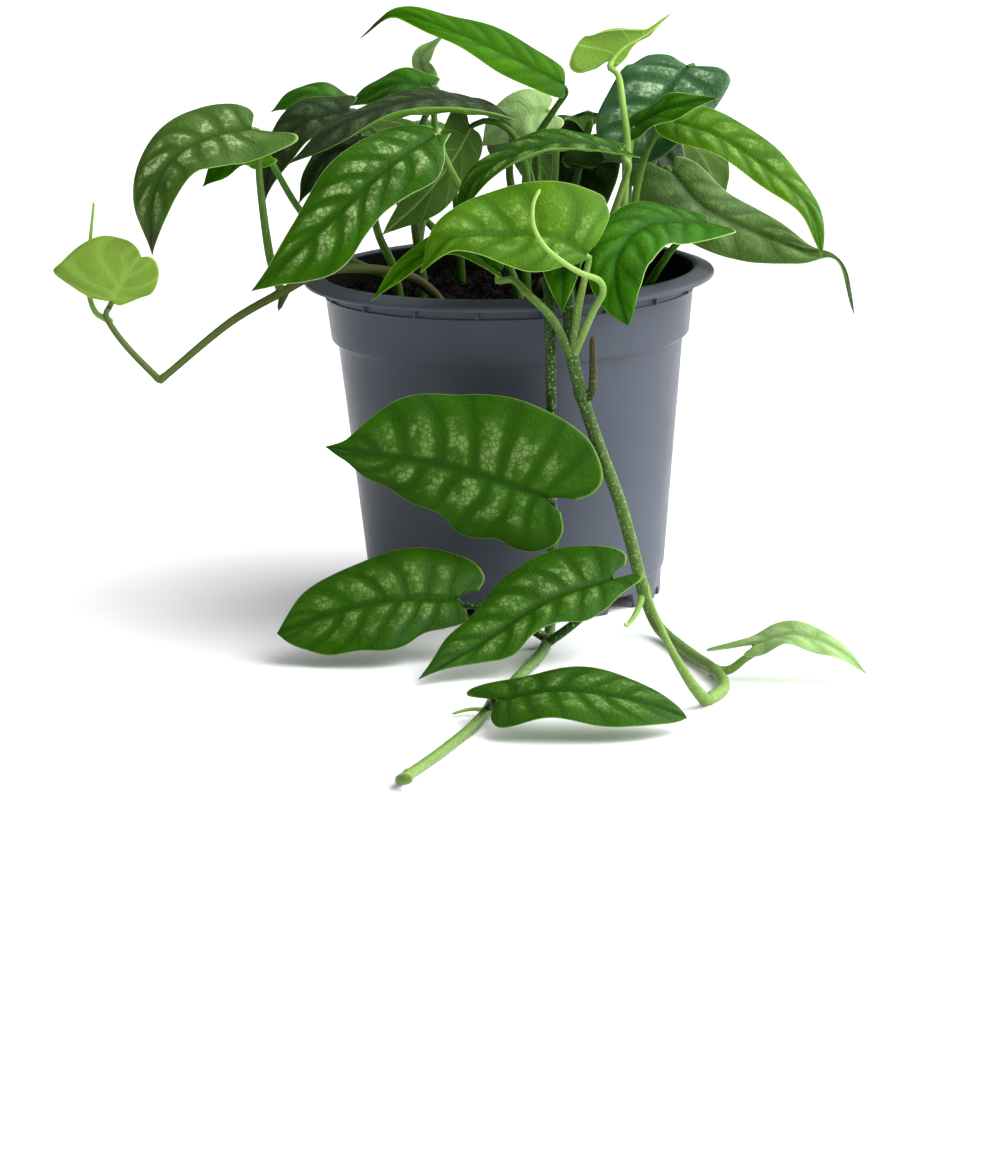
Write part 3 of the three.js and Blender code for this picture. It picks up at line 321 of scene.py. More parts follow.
# midrib points from base to tip, the way the upper side faces at the base and, where it differs, at the
# tip, and the widest half widths left and right of the midrib, as on the solids. An edge runs from the
# sinus to the tip, in hundredths of the blade's length and half width: the common one with the side's lobe,
# or the blade's own left and right ones. The look names the material.
sinusEdge = [[-35, 0, 20], [-90, 0, 46], [-90, 2, 74], [-30, 6, 93]]
tipEdges = {
    "pointed": [[0, 18, 100], [0, 38, 96], [0, 58, 82], [0, 75, 57], [0, 88, 28], [0, 95, 11]],
    "round": [[0, 20, 98], [0, 42, 100], [0, 62, 94], [0, 78, 76], [0, 90, 46], [0, 97, 18]],
}
leafBlades = {
    "left_outer": {"half": [13.5, 12.5], "lobes": [0.22, 0.04], "look": "sheenGreyed", "dryTip": 0.5,
        "midrib": [[-72, -35, 145], [-83, -38, 143.5], [-94, -43, 138.5], [-100, -49, 129],
                   [-101, -52, 112]],
        "face": [[-0.1, -0.6, 0.8], [-0.75, -0.6, 0.25]]},
    "front_left": {"half": [14, 13], "look": "middle",
        "midrib": [[-20, -36, 142], [-33, -46, 135], [-49, -54, 122], [-73, -58, 102]],
        "face": [[-0.1, -0.7, 0.7], [-0.1, -0.85, 0.5]],
        "edges": [[[-5, 20], [2, 38], [9, 75], [18, 98], [30, 82], [42, 74], [53, 85], [63, 100],
                   [72, 94], [82, 64], [89, 36], [95, 17]],
                  [[-2, 20], [2, 50], [11, 82], [28, 98], [44, 100], [57, 84], [69, 58], [80, 34],
                   [90, 14]]]},
    "top_left": {"half": [10, 11], "look": "bright", "dryTip": 0.9,
        "midrib": [[17.5, 1, 150], [1, -3, 159.5], [-17, -7, 168.5], [-31, -8, 173], [-41, -10, 167]],
        "face": [[0.25, -0.45, 0.86], [-0.1, -0.5, 0.86]],
        "edges": [[[0, 20], [0, 55], [3, 85], [12, 100], [28, 95], [46, 80], [62, 58], [76, 28], [83, 10],
                   [91, 6]],
                  [[0, 20], [0, 50], [2, 82], [10, 98], [26, 100], [44, 90], [60, 72], [72, 50], [81, 26],
                   [87, 9], [93, 5]]]},
    "left_long": {"half": [18, 11], "lobes": [0.03, 0.03], "fold": 3, "curl": [1.9, 0], "look": "dark",
        "midrib": [[-3, -8, 146], [-22, -18, 150], [-44, -24, 145], [-62, -30, 134]],
        "face": [[0, -0.25, 0.97], [-0.1, -0.3, 0.95]]},
    "left_bright": {"half": [6, 7], "look": "fresh",
        "midrib": [[-21, 14, 149], [-32, 12, 150], [-46, 12, 144]], "face": [[-0.1, -0.5, 0.85]]},
    "left_curled": {"half": [3, 3.5], "look": "pale",
        "midrib": [[-22, 26, 149], [-24, 25, 156], [-17, 23, 163]],
        "face": [[-0.3, -0.9, 0.2], [-0.3, -0.6, 0.7]]},
    "left_small": {"half": [6, 7], "look": "fresh",
        "midrib": [[-46, 8, 145], [-57, 6, 148.5], [-68, 6, 144]], "face": [[0, -0.45, 0.9]]},
    "left_hanging": {"half": [10, 9], "look": "dusky",
        "midrib": [[-45, -2, 145], [-59, -8, 142], [-67, -12, 132], [-70, -14, 121]],
        "face": [[-0.1, -0.5, 0.85], [-0.8, -0.55, 0.2]]},
    "left_lower": {"half": [6, 6], "look": "bright",
        "midrib": [[-69, -24, 136], [-77, -26, 136], [-87, -30, 128]],
        "face": [[-0.2, -0.6, 0.75], [-0.4, -0.6, 0.6]]},
    "left_inner": {"half": [6, 6], "look": "dusky",
        "midrib": [[-40, -15.5, 136], [-52, -18, 133.5], [-60, -21, 121]],
        "face": [[-0.3, -0.6, 0.75], [-0.6, -0.6, 0.5]]},
    "centre_pale": {"half": [8, 8], "look": "pale",
        "midrib": [[13, 20, 140], [3, 16, 139], [-7, 14, 131]], "face": [[0, -0.8, 0.6]]},
    "centre_back": {"half": [12, 9], "look": "dusky",
        "midrib": [[24, 28, 132], [23, 33, 128], [23, 34.5, 115], [25, 33, 101]],
        "face": [[0.1, -0.85, 0.5], [0, -0.97, 0.2]]},
    "top_young": {"half": [4, 12], "wave": 0.4, "look": "young",
        "midrib": [[31, -8, 158], [35, -7, 162], [42, -4, 165.5], [49, -2, 171]],
        "face": [[-0.3, 0.9, 0.2], [-0.35, 0.3, 0.9]],
        "edges": [[[-10, 20], [-10, 50], [5, 80], [20, 85], [42, 50], [62, 70], [70, 35], [85, 25]],
                  [[-20, 15], [-39, 42], [-42, 74], [-28, 93], [-5, 100], [12, 84], [25, 58], [42, 34],
                   [60, 16], [80, 10]]]},
    "right_silver": {"half": [17, 17], "lobes": [0.06, 0.06], "form": "round", "pucker": 1.8, "wave": 1.2,
        "look": "silver",
        "midrib": [[54, 14, 153], [49, 8, 148], [42, 4, 141], [29, 0, 128]],
        "face": [[-0.3, -0.7, 0.65], [-0.4, -0.75, 0.5]]},
    "right_small": {"half": [6.5, 6], "lobes": [0.12, 0.08], "look": "fresh",
        "midrib": [[37, -12, 139], [47, -18, 145], [61, -23, 148.5]], "face": [[-0.2, -0.55, 0.8]]},
    "right_arching": {"half": [11.5, 9.5], "look": "sunlit",
        "midrib": [[48, -11, 140.5], [61, -17, 136.5], [75, -24, 127.5], [86, -28, 117], [90, -30, 103]],
        "face": [[0.2, -0.5, 0.84], [0.5, -0.55, 0.6]],
        "edges": [[[-2, 20], [-6, 50], [0, 84], [12, 100], [30, 98], [48, 80], [64, 60], [78, 46],
                   [90, 27], [96, 12]],
                  [[-2, 20], [-5, 50], [0, 84], [12, 100], [28, 96], [46, 82], [62, 68], [76, 52],
                   [88, 30], [95, 13]]]},
    "right_outer": {"half": [9.5, 14], "look": "grazingSheen", "dryTip": 0.4,
        "midrib": [[48, 10, 123], [57, 4, 113], [71, 0, 106], [85, -6, 101], [96, -8, 98], [100, -12, 83]],
        "face": [[0.1, -0.75, 0.6], [0.5, -0.6, 0.6]],
        "edges": [[[-1, 20], [-3, 50], [4, 86], [16, 100], [32, 97], [47, 78], [60, 46], [70, 18],
                   [76, 10], [88, 8], [96, 5]],
                  [[-6, 20], [-16, 46], [-13, 76], [0, 94], [16, 100], [32, 96], [47, 80], [60, 50],
                   [70, 20], [76, 10], [88, 8], [96, 5]]]},
    "right_inner": {"half": [8, 8], "look": "dark",
        "midrib": [[36, 21, 135], [45, 23, 128], [54, 25, 115]], "face": [[0.2, -0.85, 0.5]]},
    "front_right": {"half": [11, 10], "lobes": [0.1, 0.06], "form": "round", "look": "fresh",
        "midrib": [[57, -33, 114], [40, -46, 116], [31, -59, 110], [30, -66, 101], [33, -68, 91]],
        "face": [[0, -0.35, 0.93], [-0.25, -0.95, 0.1]]},
    "right_low": {"half": [5, 5], "look": "bright",
        "midrib": [[42, 20, 109], [49, 22, 106], [55, 24, 99.5]], "face": [[0.3, -0.8, 0.5]]},
    "front_centre": {"half": [14, 18], "fold": 18, "look": "sunlit",
        "midrib": [[22, -66, 111], [12, -68, 117], [-2, -70, 118], [-16, -74, 118], [-25, -76, 109]],
        "face": [[0, -0.7, 0.7], [-0.3, -0.7, 0.65]],
        "edges": [[[1, 20], [9, 56], [21, 90], [36, 100], [50, 86], [63, 60], [76, 36], [88, 17]],
                  [[-2, 20], [-4, 55], [-4, 92], [3, 110], [16, 104], [29, 98], [43, 92], [57, 78],
                   [72, 50], [86, 22]]]},
    "front_tucked": {"half": [6.5, 8], "look": "fresh",
        "midrib": [[18, -42, 110], [16, -54, 110], [15, -64, 106], [14.5, -68, 95]],
        "face": [[0, -0.3, 0.95], [0, -0.9, 0.4]]},
    "front_narrow": {"half": [6, 6], "lobes": [0.02, 0.02], "fold": 34, "look": "bright",
        "midrib": [[-3, -56, 105], [-14, -60, 113], [-25, -64, 111], [-39, -67, 100]],
        "face": [[0.3, -0.5, 0.8], [-0.3, -0.6, 0.7]]},
    "centre_arching": {"half": [11, 8], "lobes": [0.06, 0.05], "curl": [1.5, 0], "look": "shaded",
        "midrib": [[33, -31, 135.5], [17, -38, 139], [3, -44, 137], [-8.5, -48, 131], [-16, -50, 118]],
        "face": [[0, -0.3, 0.95], [-0.3, -0.5, 0.8]]},
    "centre_left": {"half": [11, 11], "lobes": [0.04, 0.04], "look": "dusky",
        "midrib": [[-10, -14, 141], [-16, -22, 132], [-25, -28, 122], [-36, -32, 113]],
        "face": [[-0.4, 0.8, 0.4]]},
    "left_young": {"half": [19, 9], "fold": 6, "wave": 0.4, "look": "young",
        "midrib": [[-113.6, -42, 97], [-109.8, -42, 104], [-104.5, -42, 110]],
        "face": [[0.2, -0.85, 0.45]],
        "edges": [[[-4, 14], [-10, 34], [-8, 68], [0, 100], [30, 93], [58, 80], [84, 62], [104, 36],
                   [107, 16]],
                  [[2, 30], [20, 62], [45, 94], [70, 100], [95, 80], [110, 48], [110, 20]]]},
    "back_left": {"half": [13, 13], "look": "middle",
        "midrib": [[-17, 30.5, 128.5], [-28, 42, 134], [-38, 56, 124], [-42, 64, 108]],
        "face": [[-0.3, 0.5, 0.8], [-0.4, 0.8, 0.4]]},
    "back_centre": {"half": [13, 13], "look": "dusky",
        "midrib": [[6, 44, 126], [8, 58, 131], [10, 71, 122], [10, 78, 104]],
        "face": [[0, 0.4, 0.9], [0, 0.9, 0.4]]},
    "back_right": {"half": [12, 12], "look": "middle",
        "midrib": [[38, 32, 130], [48, 42, 132], [59, 51, 121], [65, 58, 104]],
        "face": [[0.3, 0.5, 0.8], [0.5, 0.7, 0.4]]},
    "back_low": {"half": [12, 12], "look": "dusky",
        "midrib": [[-32, 32, 114], [-43, 45, 116], [-53, 57, 105], [-57, 65, 90]],
        "face": [[-0.3, 0.5, 0.8], [-0.5, 0.7, 0.4]]},
    "trail_hanging": {"half": [18, 24], "fold": 10, "wave": 1, "look": "shaded",
        "midrib": [[9.5, -71, 42.5], [-6, -73, 49], [-22, -74, 54], [-38, -75, 57], [-53, -75, 60]],
        "face": [[0, -1, 0.1]],
        "edges": [[[-7, 14], [-11, 42], [-9, 70], [-1, 90], [8, 94], [14, 90], [26, 100], [35, 96],
                   [45, 76], [60, 68], [71, 49], [81, 38], [90, 18], [95, 10]],
                  [[-12, 10], [-18, 26], [-19, 48], [-10, 78], [3, 93], [24, 100], [38, 95], [50, 85],
                   [63, 79], [74, 66], [82, 46], [89, 22], [93, 10]]]},
    "trail_right": {"half": [12, 17], "look": "shaded",
        "midrib": [[27, -84, 22], [8, -94, 18], [-11, -106, 9], [-28, -118, 2.5]],
        "face": [[-0.1, -0.6, 0.8]],
        "edges": [[[-14, 10], [-10, 36], [2, 60], [12, 88], [24, 100], [36, 74], [49, 70], [62, 84],
                   [74, 48], [87, 16]],
                  [[-9, 20], [-12, 44], [-8, 70], [0, 90], [11, 100], [28, 92], [44, 82], [60, 62],
                   [76, 46], [90, 18]]]},
    "trail_left": {"half": [17, 17], "look": "shaded",
        "midrib": [[-17, -80, 16], [-34, -82, 17], [-52, -84, 14], [-68, -86, 9]],
        "face": [[0, -0.7, 0.7]],
        "edges": [[[-4, 20], [-4, 44], [7, 60], [19, 70], [32, 92], [46, 100], [60, 90], [77, 78],
                   [89, 50], [96, 26]],
                  [[-12, 20], [-15.5, 46], [-10, 78], [3, 96], [20, 100], [38, 92], [60, 78], [79, 55],
                   [92, 24]]]},
    "trail_end": {"half": [12, 16], "lobes": [0.2, 0.03], "form": "round", "look": "shaded",
        "midrib": [[-6, -170, 8], [10, -173, 11], [28, -176, 9], [44, -178, 4]],
        "face": [[0, -0.3, 0.95]]},
    "trail_small": {"half": [7, 7], "lobes": [0.45, 0.1], "look": "pale",
        "midrib": [[65, -120, 10], [75, -122, 13], [86, -125, 10], [95, -127, 3]],
        "face": [[0.1, -0.3, 0.95]]},
}
bladeDefaults = {"lobes": [0.14, 0.12], "form": "pointed", "fold": 14, "wave": 0.8, "curl": [0, 0],
                 "pucker": 1, "dryTip": 0}
# sizes in millimetres, except for counts, shares and powers; a blade of fullSize has every row and column
bladeBuild = {"rows": 84, "columns": 40, "fullSize": 60, "leastScale": 0.45, "thickness": 0.42,
              "edgeThickness": 0.16, "thinMargin": 1.2, "droop": 0.22, "waves": 2.2, "quilt": 0.6,
              "cushion": 1.6, "midribDepth": 0.3, "midribWidth": 0.6, "keel": 1.6, "laterals": 7.5,
              "fewestLaterals": 4, "allLateralsSize": 55, "sweep": 0.9, "sweepBow": 1.3, "narrowest": 0.12,
              "curlStart": 0.5}


def bladeEdge(leaf, side, length):
    # the edge left (0) or right (1) of the midrib, as a curve of length along and half width
    lobe, widest = leaf["lobes"][side], leaf["half"][side]
    shares = leaf["edges"][side] if "edges" in leaf else [
        [back * lobe + ahead, width] for back, ahead, width in sinusEdge + tipEdges[leaf["form"]]]
    return sampledCurve([[along / 100 * length, width / 100 * widest, 0]
                         for along, width in [*shares, [100, 0]]])


def bladeSurface(leaf, u, v):
    # the blade's middle surface in plant millimetres, with each point's distances from midrib and edge
    curve = sampledCurve(leaf["midrib"])
    length = curve[2]
    across, right = np.abs(v), v >= 0
    edges = [curvePoint(bladeEdge(leaf, side, length), u) for side in (0, 1)]
    edge = np.where(right[..., None], edges[1], edges[0])
    half = np.maximum(edge[..., 1], bladeBuild["narrowest"])
    # rows leave the midrib evenly and reach the edge's own points, the lobes' behind the base
    alongMidrib = u ** 1.3
    along = alongMidrib + (edge[..., 0] / length - alongMidrib) * across ** (2 - 0.8 * u)
    inside = np.clip(along, 0, 1)
    tangent = curveTangent(curve, inside)
    faceStart, faceEnd = (np.asarray(leaf["face"][end], float) for end in (0, -1))
    up = faceStart + (faceEnd - faceStart) * inside[..., None]
    up = unit(up - (up * tangent).sum(-1, keepdims=True) * tangent)
    rightward = np.cross(tangent, up)
    # a curled margin rolls up beyond a share of the half width
    curlStart = bladeBuild["curlStart"]
    flat, rolled = half * np.minimum(across, curlStart), half * np.maximum(across - curlStart, 0)
    turn = np.where(right, leaf["curl"][1], leaf["curl"][0]) * np.sin(math.pi * u)
    angle = turn * rolled / half / (1 - curlStart) + 1e-6
    width = flat + rolled * np.sin(angle) / angle
    waves = np.sin(2 * math.pi * bladeBuild["waves"] * u + 2.4 * right)
    fold = math.radians(leaf["fold"])
    lift = (width * math.sin(fold) - bladeBuild["droop"] * half * across ** 2
            + leaf["wave"] * across ** 2 * waves * np.sin(math.pi * u)
            + rolled * (1 - np.cos(angle)) / angle)
    point = (curvePoint(curve, inside) + tangent * ((along - inside) * length)[..., None]
             + rightward * (np.sign(v) * width * math.cos(fold))[..., None] + up * lift[..., None])
    return point, width, half * (1 - across)


def makeBlade(name, values):
    leaf = {**bladeDefaults, **values}
    size = np.linalg.norm(np.diff(np.asarray(leaf["midrib"], float), axis=0), axis=1).sum()
    scale = min(1, max(bladeBuild["leastScale"], size / bladeBuild["fullSize"]))
    rows, columns = int(bladeBuild["rows"] * scale), 2 * int(bladeBuild["columns"] * scale / 2)
    v = np.linspace(-1, 1, columns + 1)[None, :]
    u, v = np.broadcast_arrays(np.linspace(0, 1, rows + 1)[:, None], np.sign(v) * np.abs(v) ** 0.9)
    across = np.abs(v)
    point, width, fromEdge = bladeSurface(leaf, u, v)
    normal = unit(np.cross(np.gradient(point, axis=1), np.gradient(point, axis=0)))

    # quilting between the laterals, and the sunken midrib that stands out beneath
    laterals = max(bladeBuild["fewestLaterals"],
                   round(bladeBuild["laterals"] * min(1, size / bladeBuild["allLateralsSize"])))
    wander = 0.09 * np.sin(7 * u + 2.3 * v + len(name)) + 0.07 * np.sin(15 * u - 5 * v + 2 * len(name))
    phase = laterals * u - bladeBuild["sweep"] * across ** bladeBuild["sweepBow"] + wander + 0.4 * (v >= 0)
    cushions = np.abs(np.sin(math.pi * phase)) ** bladeBuild["cushion"]
    calm = smoothStep(0, 0.3, across) * smoothStep(0, 0.35, 1 - across) * np.sin(math.pi * u) ** 0.5
    quilt = bladeBuild["quilt"] * leaf["pucker"] * scale * cushions * calm
    groove = bladeBuild["midribDepth"] * np.exp(-(width / bladeBuild["midribWidth"]) ** 2) * (1 - 0.7 * u)
    middle = point + normal * (quilt - groove)[..., None]
    thinnest = bladeBuild["edgeThickness"]
    thickening = smoothStep(0, bladeBuild["thinMargin"], fromEdge)
    halfThickness = (thinnest + (bladeBuild["thickness"] - thinnest) * thickening) / 2
    upper = middle + normal * halfThickness[..., None]
    lower = middle - normal * (halfThickness + bladeBuild["keel"] * groove)[..., None]

    # one closed skin: the upper grid, the lower grid, and a strip round the edge
    count = (rows + 1) * (columns + 1)
    index = np.arange(count).reshape(rows + 1, columns + 1)
    grid = np.stack([index[:-1, :-1], index[:-1, 1:], index[1:, 1:], index[1:, :-1]], -1).reshape(-1, 4)
    ring = np.concatenate([index[0, :], index[1:, -1], index[-1, -2::-1], index[-2:0:-1, 0]])
    ahead = np.roll(ring, -1)
    rim = np.stack([ahead, ring, ring + count, ahead + count], -1)
    faces = np.vstack([grid, grid[:, ::-1] + count, rim])
    vertices = toMetres(np.vstack([upper.reshape(-1, 3), lower.reshape(-1, 3)]))
    blade = meshObject(f"blade_{name}", vertices, faces.tolist(), leafMaterials[leaf["look"]])
    both = {"midribDistance": width, "edgeDistance": fromEdge, "veinPhase": phase + 8}
    for label, numbers in both.items():
        storeValues(blade.data, label, np.tile(numbers.ravel(), 2))
    storeValues(blade.data, "dryTip", np.full(2 * count, leaf["dryTip"]))
    storeValues(blade.data, "upperSide", np.repeat([1, 0], count))
    storeMap(blade.data, "bladeMap", np.tile(np.stack([(v.ravel() + 1) / 2, u.ravel()], -1), (2, 1)))
    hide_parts(f"leaf_{name}")
    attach(blade, "root")


for name, values in leafBlades.items():
    makeBlade(name, values)
print("blades made:", len(leafBlades))


# Stems

# Living stem: firm green skin, paler where young, with pale raised specks on the older trailing stems.
# Pale streaks along it are weaker there.
crownSkin = {"green": "#48741f", "dark": "#2d5410", "pale": "#93b758", "brown": "#3f3220",
             "speck": "#9cb37a", "streaks": 0.45, "specks": 0.0}
trailingSkin = {**crownSkin, "green": "#2c4a17", "dark": "#17300c", "streaks": 0.15, "specks": 0.6}
stemSkin = {"Roughness": 0.42, "IOR": 1.45, "Specular IOR Level": 0.15, "Subsurface Weight": 0.1,
            "Subsurface Radius": (0.5, 1.0, 0.2), "Subsurface Scale": 0.001}
# the dots are drawn as coarse as they need to show, and the fibres are streaks along the stem
stemRows = [
    ("cloud", "noise", "place", 70.0, 2.0), ("tone", "ramp", "cloud", 0.35, 0.65),
    ("map", "stemMap"), ("along", "stretched", "map", (9.0, 1.2, 1.0)),
    ("fibres", "noise", "along", 3.0, 3.0), ("streakShare", "ramp", "fibres", 0.55, 0.8, 0.0, "streaks"),
    ("dots", "noise", "place", 1300.0, 2.0, 0.7), ("speckShare", "ease", "dots", 0.56, 0.68, 0.0, "specks"),
    ("colour", "layer", "tone", "dark", "green"), ("colour", "layer", "streakShare", "colour", "pale"),
    ("colour", "layer", "speckShare", "colour", "speck"), ("colour", "layer", "youth", "colour", "pale"),
    ("colour", "layer", "dryness", "colour", "brown"), ("height", "noise", "place", 1100.0, 2.0),
]
skins = {"stemSkinCrown": crownSkin, "stemSkinTrailing": trailingSkin}
crownStem, trailStem = [makeMaterial(name, stemSkin, skin, ["youth", "dryness"], stemRows, 0.3, 0.0002)
                        for name, skin in skins.items()]

# root on the soil, radius at the soil, and the tubes of each stem; a tube that names a leaf ends at its
# base. Pairs of youth, dryness and warty are the shares at a tube's start and end. Nodes are swollen.
stemTubes = {
    "stem_front_left": {"root": [3, -24], "radius": 1.6, "tubes": [
        {"path": [[-2, -28, 107], [-10, -32, 120], [-17, -34, 134]], "leaf": "front_left",
         "youth": [0.1, 0.3]},
    ]},
    "stem_centre": {"root": [5, 0], "radius": 1.8, "tubes": [
        {"path": [[5, 2, 112], [7, 5, 130], [14, 3, 142]], "leaf": "top_left"},
        {"path": [[5, 0.5, 104], [6, -6, 120], [5, -8, 131], [2, -11, 138], [-2, -13, 141.5],
         [-6, -14, 142.4]], "leaf": "centre_left"},
        {"path": [[5, 1, 106], [1, -3, 124], [2, -6, 138]], "leaf": "left_long", "dryness": [0.35, 0.2]},
    ]},
    "stem_front_centre": {"root": [26, -22], "radius": 1.5, "tubes": [
        {"path": [[28, -23.5, 108], [32.5, -25, 122], [35, -28, 130]], "leaf": "centre_arching",
         "youth": [0.1, 0.5]},
        {"path": [[26, -22.5, 93], [25, -28, 101], [21, -36, 107]], "leaf": "front_tucked",
         "youth": [0.1, 0.3]},
    ]},
    "stem_right_tall": {"root": [34, -12], "radius": 1.6, "tubes": [
        {"path": [[33.5, -13, 113], [35, -17, 134], [34, -17, 146], [33, -12, 154]], "leaf": "top_young",
         "youth": [0.3, 0.8]},
        {"path": [[34.6, -15.8, 129], [36, -12, 135]], "leaf": "right_small", "youth": [0.5, 0.7]},
        {"path": [[33.9, -12.2, 99], [36.5, -8.5, 109], [37.5, -9, 120], [40.5, -10, 131],
         [44, -10.5, 137]], "leaf": "right_arching", "youth": [0.1, 0.2]},
    ]},
    "stem_right_back": {"root": [37, 2], "radius": 1.6, "tubes": [
        {"path": [[38, 3, 104], [42, 6, 115]], "leaf": "right_outer", "youth": [0.2, 0.3]},
        {"path": [[37.3, 2.3, 97], [41, 14, 118], [50, 18, 142]], "leaf": "right_silver"},
        {"path": [[37.2, 2.2, 94], [35, 13, 112], [35, 19, 126]], "leaf": "right_inner"},
    ]},
    "stem_front_right": {"root": [39, -20], "radius": 1.5, "tubes": [
        {"path": [[44, -24, 101], [50, -29, 109]], "leaf": "front_right"},
    ]},
    "stem_left": {"root": [-25, 2], "radius": 1.7, "tubes": [
        {"path": [[-26, 2, 101], [-27, 0, 114], [-25, 6, 136]], "leaf": "left_bright",
         "dryness": [0.5, 0.3]},
        {"path": [[-26.3, 1.7, 104], [-21, 20, 132], [-21, 25, 142]], "leaf": "left_curled",
         "dryness": [0.3, 0]},
        {"path": [[-26.7, 0.5, 110], [-33, 4, 130], [-41, 7, 140]], "leaf": "left_small"},
        {"path": [[-26.8, 0.2, 111], [-32, -8, 128], [-36, -12, 137]], "leaf": "left_inner",
         "dryness": [0.4, 0.2]},
    ]},
    "stem_left_outer": {"root": [-32, -11], "radius": 1.6, "tubes": [
        {"path": [[-34, -10, 101], [-38, -8, 111], [-41, -5, 130]], "leaf": "left_hanging"},
        {"path": [[-33, -10.6, 96], [-49, -20, 106], [-60, -24, 120]], "leaf": "left_lower"},
    ]},
    "stem_back_centre": {"root": [14, 22], "radius": 1.6, "tubes": [
        {"path": [[14, 24, 112], [15, 24, 130]], "leaf": "centre_pale", "youth": [0, 0.4],
         "dryness": [0.2, 0]},
        {"path": [[14, 22.5, 95], [20, 26, 116]], "leaf": "centre_back"},
        {"path": [[14, 22.5, 96], [10, 33, 108], [7, 41, 119]], "leaf": "back_centre"},
    ]},
    "stem_back_left": {"root": [-14, 26], "radius": 1.6, "tubes": [
        {"path": [[-15, 27, 112]], "leaf": "back_left"},
        {"path": [[-14.3, 26, 96], [-24, 29, 107]], "leaf": "back_low"},
    ]},
    "stem_back_right": {"root": [36, 22], "radius": 1.6, "tubes": [
        {"path": [[36, 27, 112]], "leaf": "back_right"},
        {"path": [[36, 22.3, 93], [39, 20, 101]], "leaf": "right_low"},
    ]},
    "stem_trail_left": {"root": [9, -40], "radius": 1.6, "tubes": [
        {"path": [[9.5, -47, 99.5], [10.5, -54, 101.8], [11, -60, 101], [11, -62.8, 96], [11, -63, 80],
         [10.5, -63, 45], [10, -63, 15], [9, -66, 4.5], [8, -75, 2], [5, -95, 2], [0, -115, 2],
         [-4, -135, 2], [-9, -155, 2], [-14, -175, 1.8], [-22, -200, 1.6], [-30, -222, 1.5],
         [-32, -230, 2.2], [-29, -236, 4]], "end": 1.4, "youth": [-0.2, 0.45], "warty": [1, 0],
         "nodes": [[10.5, -63, 37], [8, -74, 2], [-9, -155, 2], [-30, -222, 1.5]]},
        {"path": [[10.5, -63, 37], [10.5, -67, 40]], "leaf": "trail_hanging"},
        {"path": [[8, -77, 2.2], [14, -80, 7], [22, -82, 14]], "leaf": "trail_right"},
        {"path": [[8, -72, 2.2], [2, -76, 7], [-8, -79, 13]], "leaf": "trail_left"},
        {"path": [[-9, -154, 2.2], [-8.5, -160, 5], [-7.5, -165, 7.5]], "leaf": "trail_end"},
        {"path": [[-9, -155, 2], [-14, -152, 1.6], [-19, -154, 0.9]], "start": 0.7, "end": 0.4,
         "youth": [1, 1], "dryness": [0, 0.3]},
        {"path": [[-9, -156, 2], [-4, -158, 2], [0, -162, 1.2]], "start": 0.7, "end": 0.4,
         "youth": [1, 1], "dryness": [0, 0.3]},
    ]},
    "stem_trail_right": {"root": [17, -38], "radius": 1.9, "tubes": [
        {"path": [[17, -39.5, 95.5], [16.5, -47, 100], [16, -54, 102], [16, -60, 101.4],
         [16.5, -63.2, 96], [17, -63.7, 83], [19.5, -64, 71], [24, -63.6, 56], [30, -62, 38],
         [36, -60.5, 13], [39, -63, 4.5], [42, -72, 2.2], [48, -95, 2], [54, -118, 2.3], [55.5, -136, 2],
         [50, -150, 1.8]], "end": 1.7, "youth": [-0.15, 0.5], "warty": [1, 0], "nodes": [[19.5, -64, 71],
         [36, -60.5, 13], [54, -118, 2.3], [50, -150, 1.8]]},
        {"path": [[17, -63.8, 82], [19, -67, 96]], "leaf": "front_centre", "youth": [0.2, 0.5]},
        {"path": [[17, -63.8, 81], [12, -67.5, 93], [5, -66, 100.5], [1, -60, 103.5]],
         "leaf": "front_narrow", "youth": [0.1, 0.5]},
        {"path": [[17, -63.8, 81], [23, -68, 95], [26, -71, 101], [25, -73, 105], [20, -78, 108],
         [15, -83, 112], [10, -86, 117], [7, -87, 123], [7, -86, 129], [9, -84, 133]], "start": 1.2,
         "end": 0.5, "youth": [0.4, 1]},
        {"path": [[19.5, -64, 70], [22.5, -65, 72], [23, -66, 88]], "start": 1.3, "end": 0.9,
         "dryness": [0.2, 1]},
        {"path": [[36, -60.5, 13], [34, -64, 8], [31, -67, 4.5], [30, -68.5, 5.5]], "start": 1.2,
         "end": 0.5, "youth": [0.6, 1]},
        {"path": [[54, -118, 2.5], [58, -119, 3], [62, -119.5, 6]], "leaf": "trail_small",
         "youth": [0.3, 0.6]},
        {"path": [[50, -150, 1.8], [46, -155, 8], [40, -160, 20], [35, -164, 34], [34.5, -165, 38]],
         "start": 1.8, "end": 0.4, "youth": [0.4, 0.6]},
    ]},
    "stem_left_arching": {"root": [-20, -24], "radius": 1.7, "tubes": [
        {"path": [[-28, -27.5, 99.5], [-42, -33, 103.5], [-54, -39, 103.5], [-65, -44, 99],
         [-80, -46, 91], [-98, -49.7, 77.3], [-100.3, -50, 76], [-102, -49.8, 77.4], [-110, -48, 86],
         [-115, -44, 93]], "leaf": "left_young", "youth": [0, 0.4], "dryness": [0.95, 0.5],
         "nodes": [[-65, -44, 99], [-100, -50, 76]]},
        {"path": [[-65, -44, 99], [-68, -42, 109], [-70, -39, 126], [-70.5, -38, 136]],
         "leaf": "left_outer", "youth": [0, 0.2], "dryness": [0.3, 0.2]},
        {"path": [[-114, -44.4, 92], [-119, -38, 94.5], [-120.5, -35, 104], [-118, -34, 125]], "start": 1,
         "end": 0.4, "youth": [0.6, 0.8]},
        {"path": [[-64, -43.4, 99.4], [-66, -45.5, 94]], "start": 1.5, "end": 0.5, "dryness": [0.5, 1]},
    ]},
}
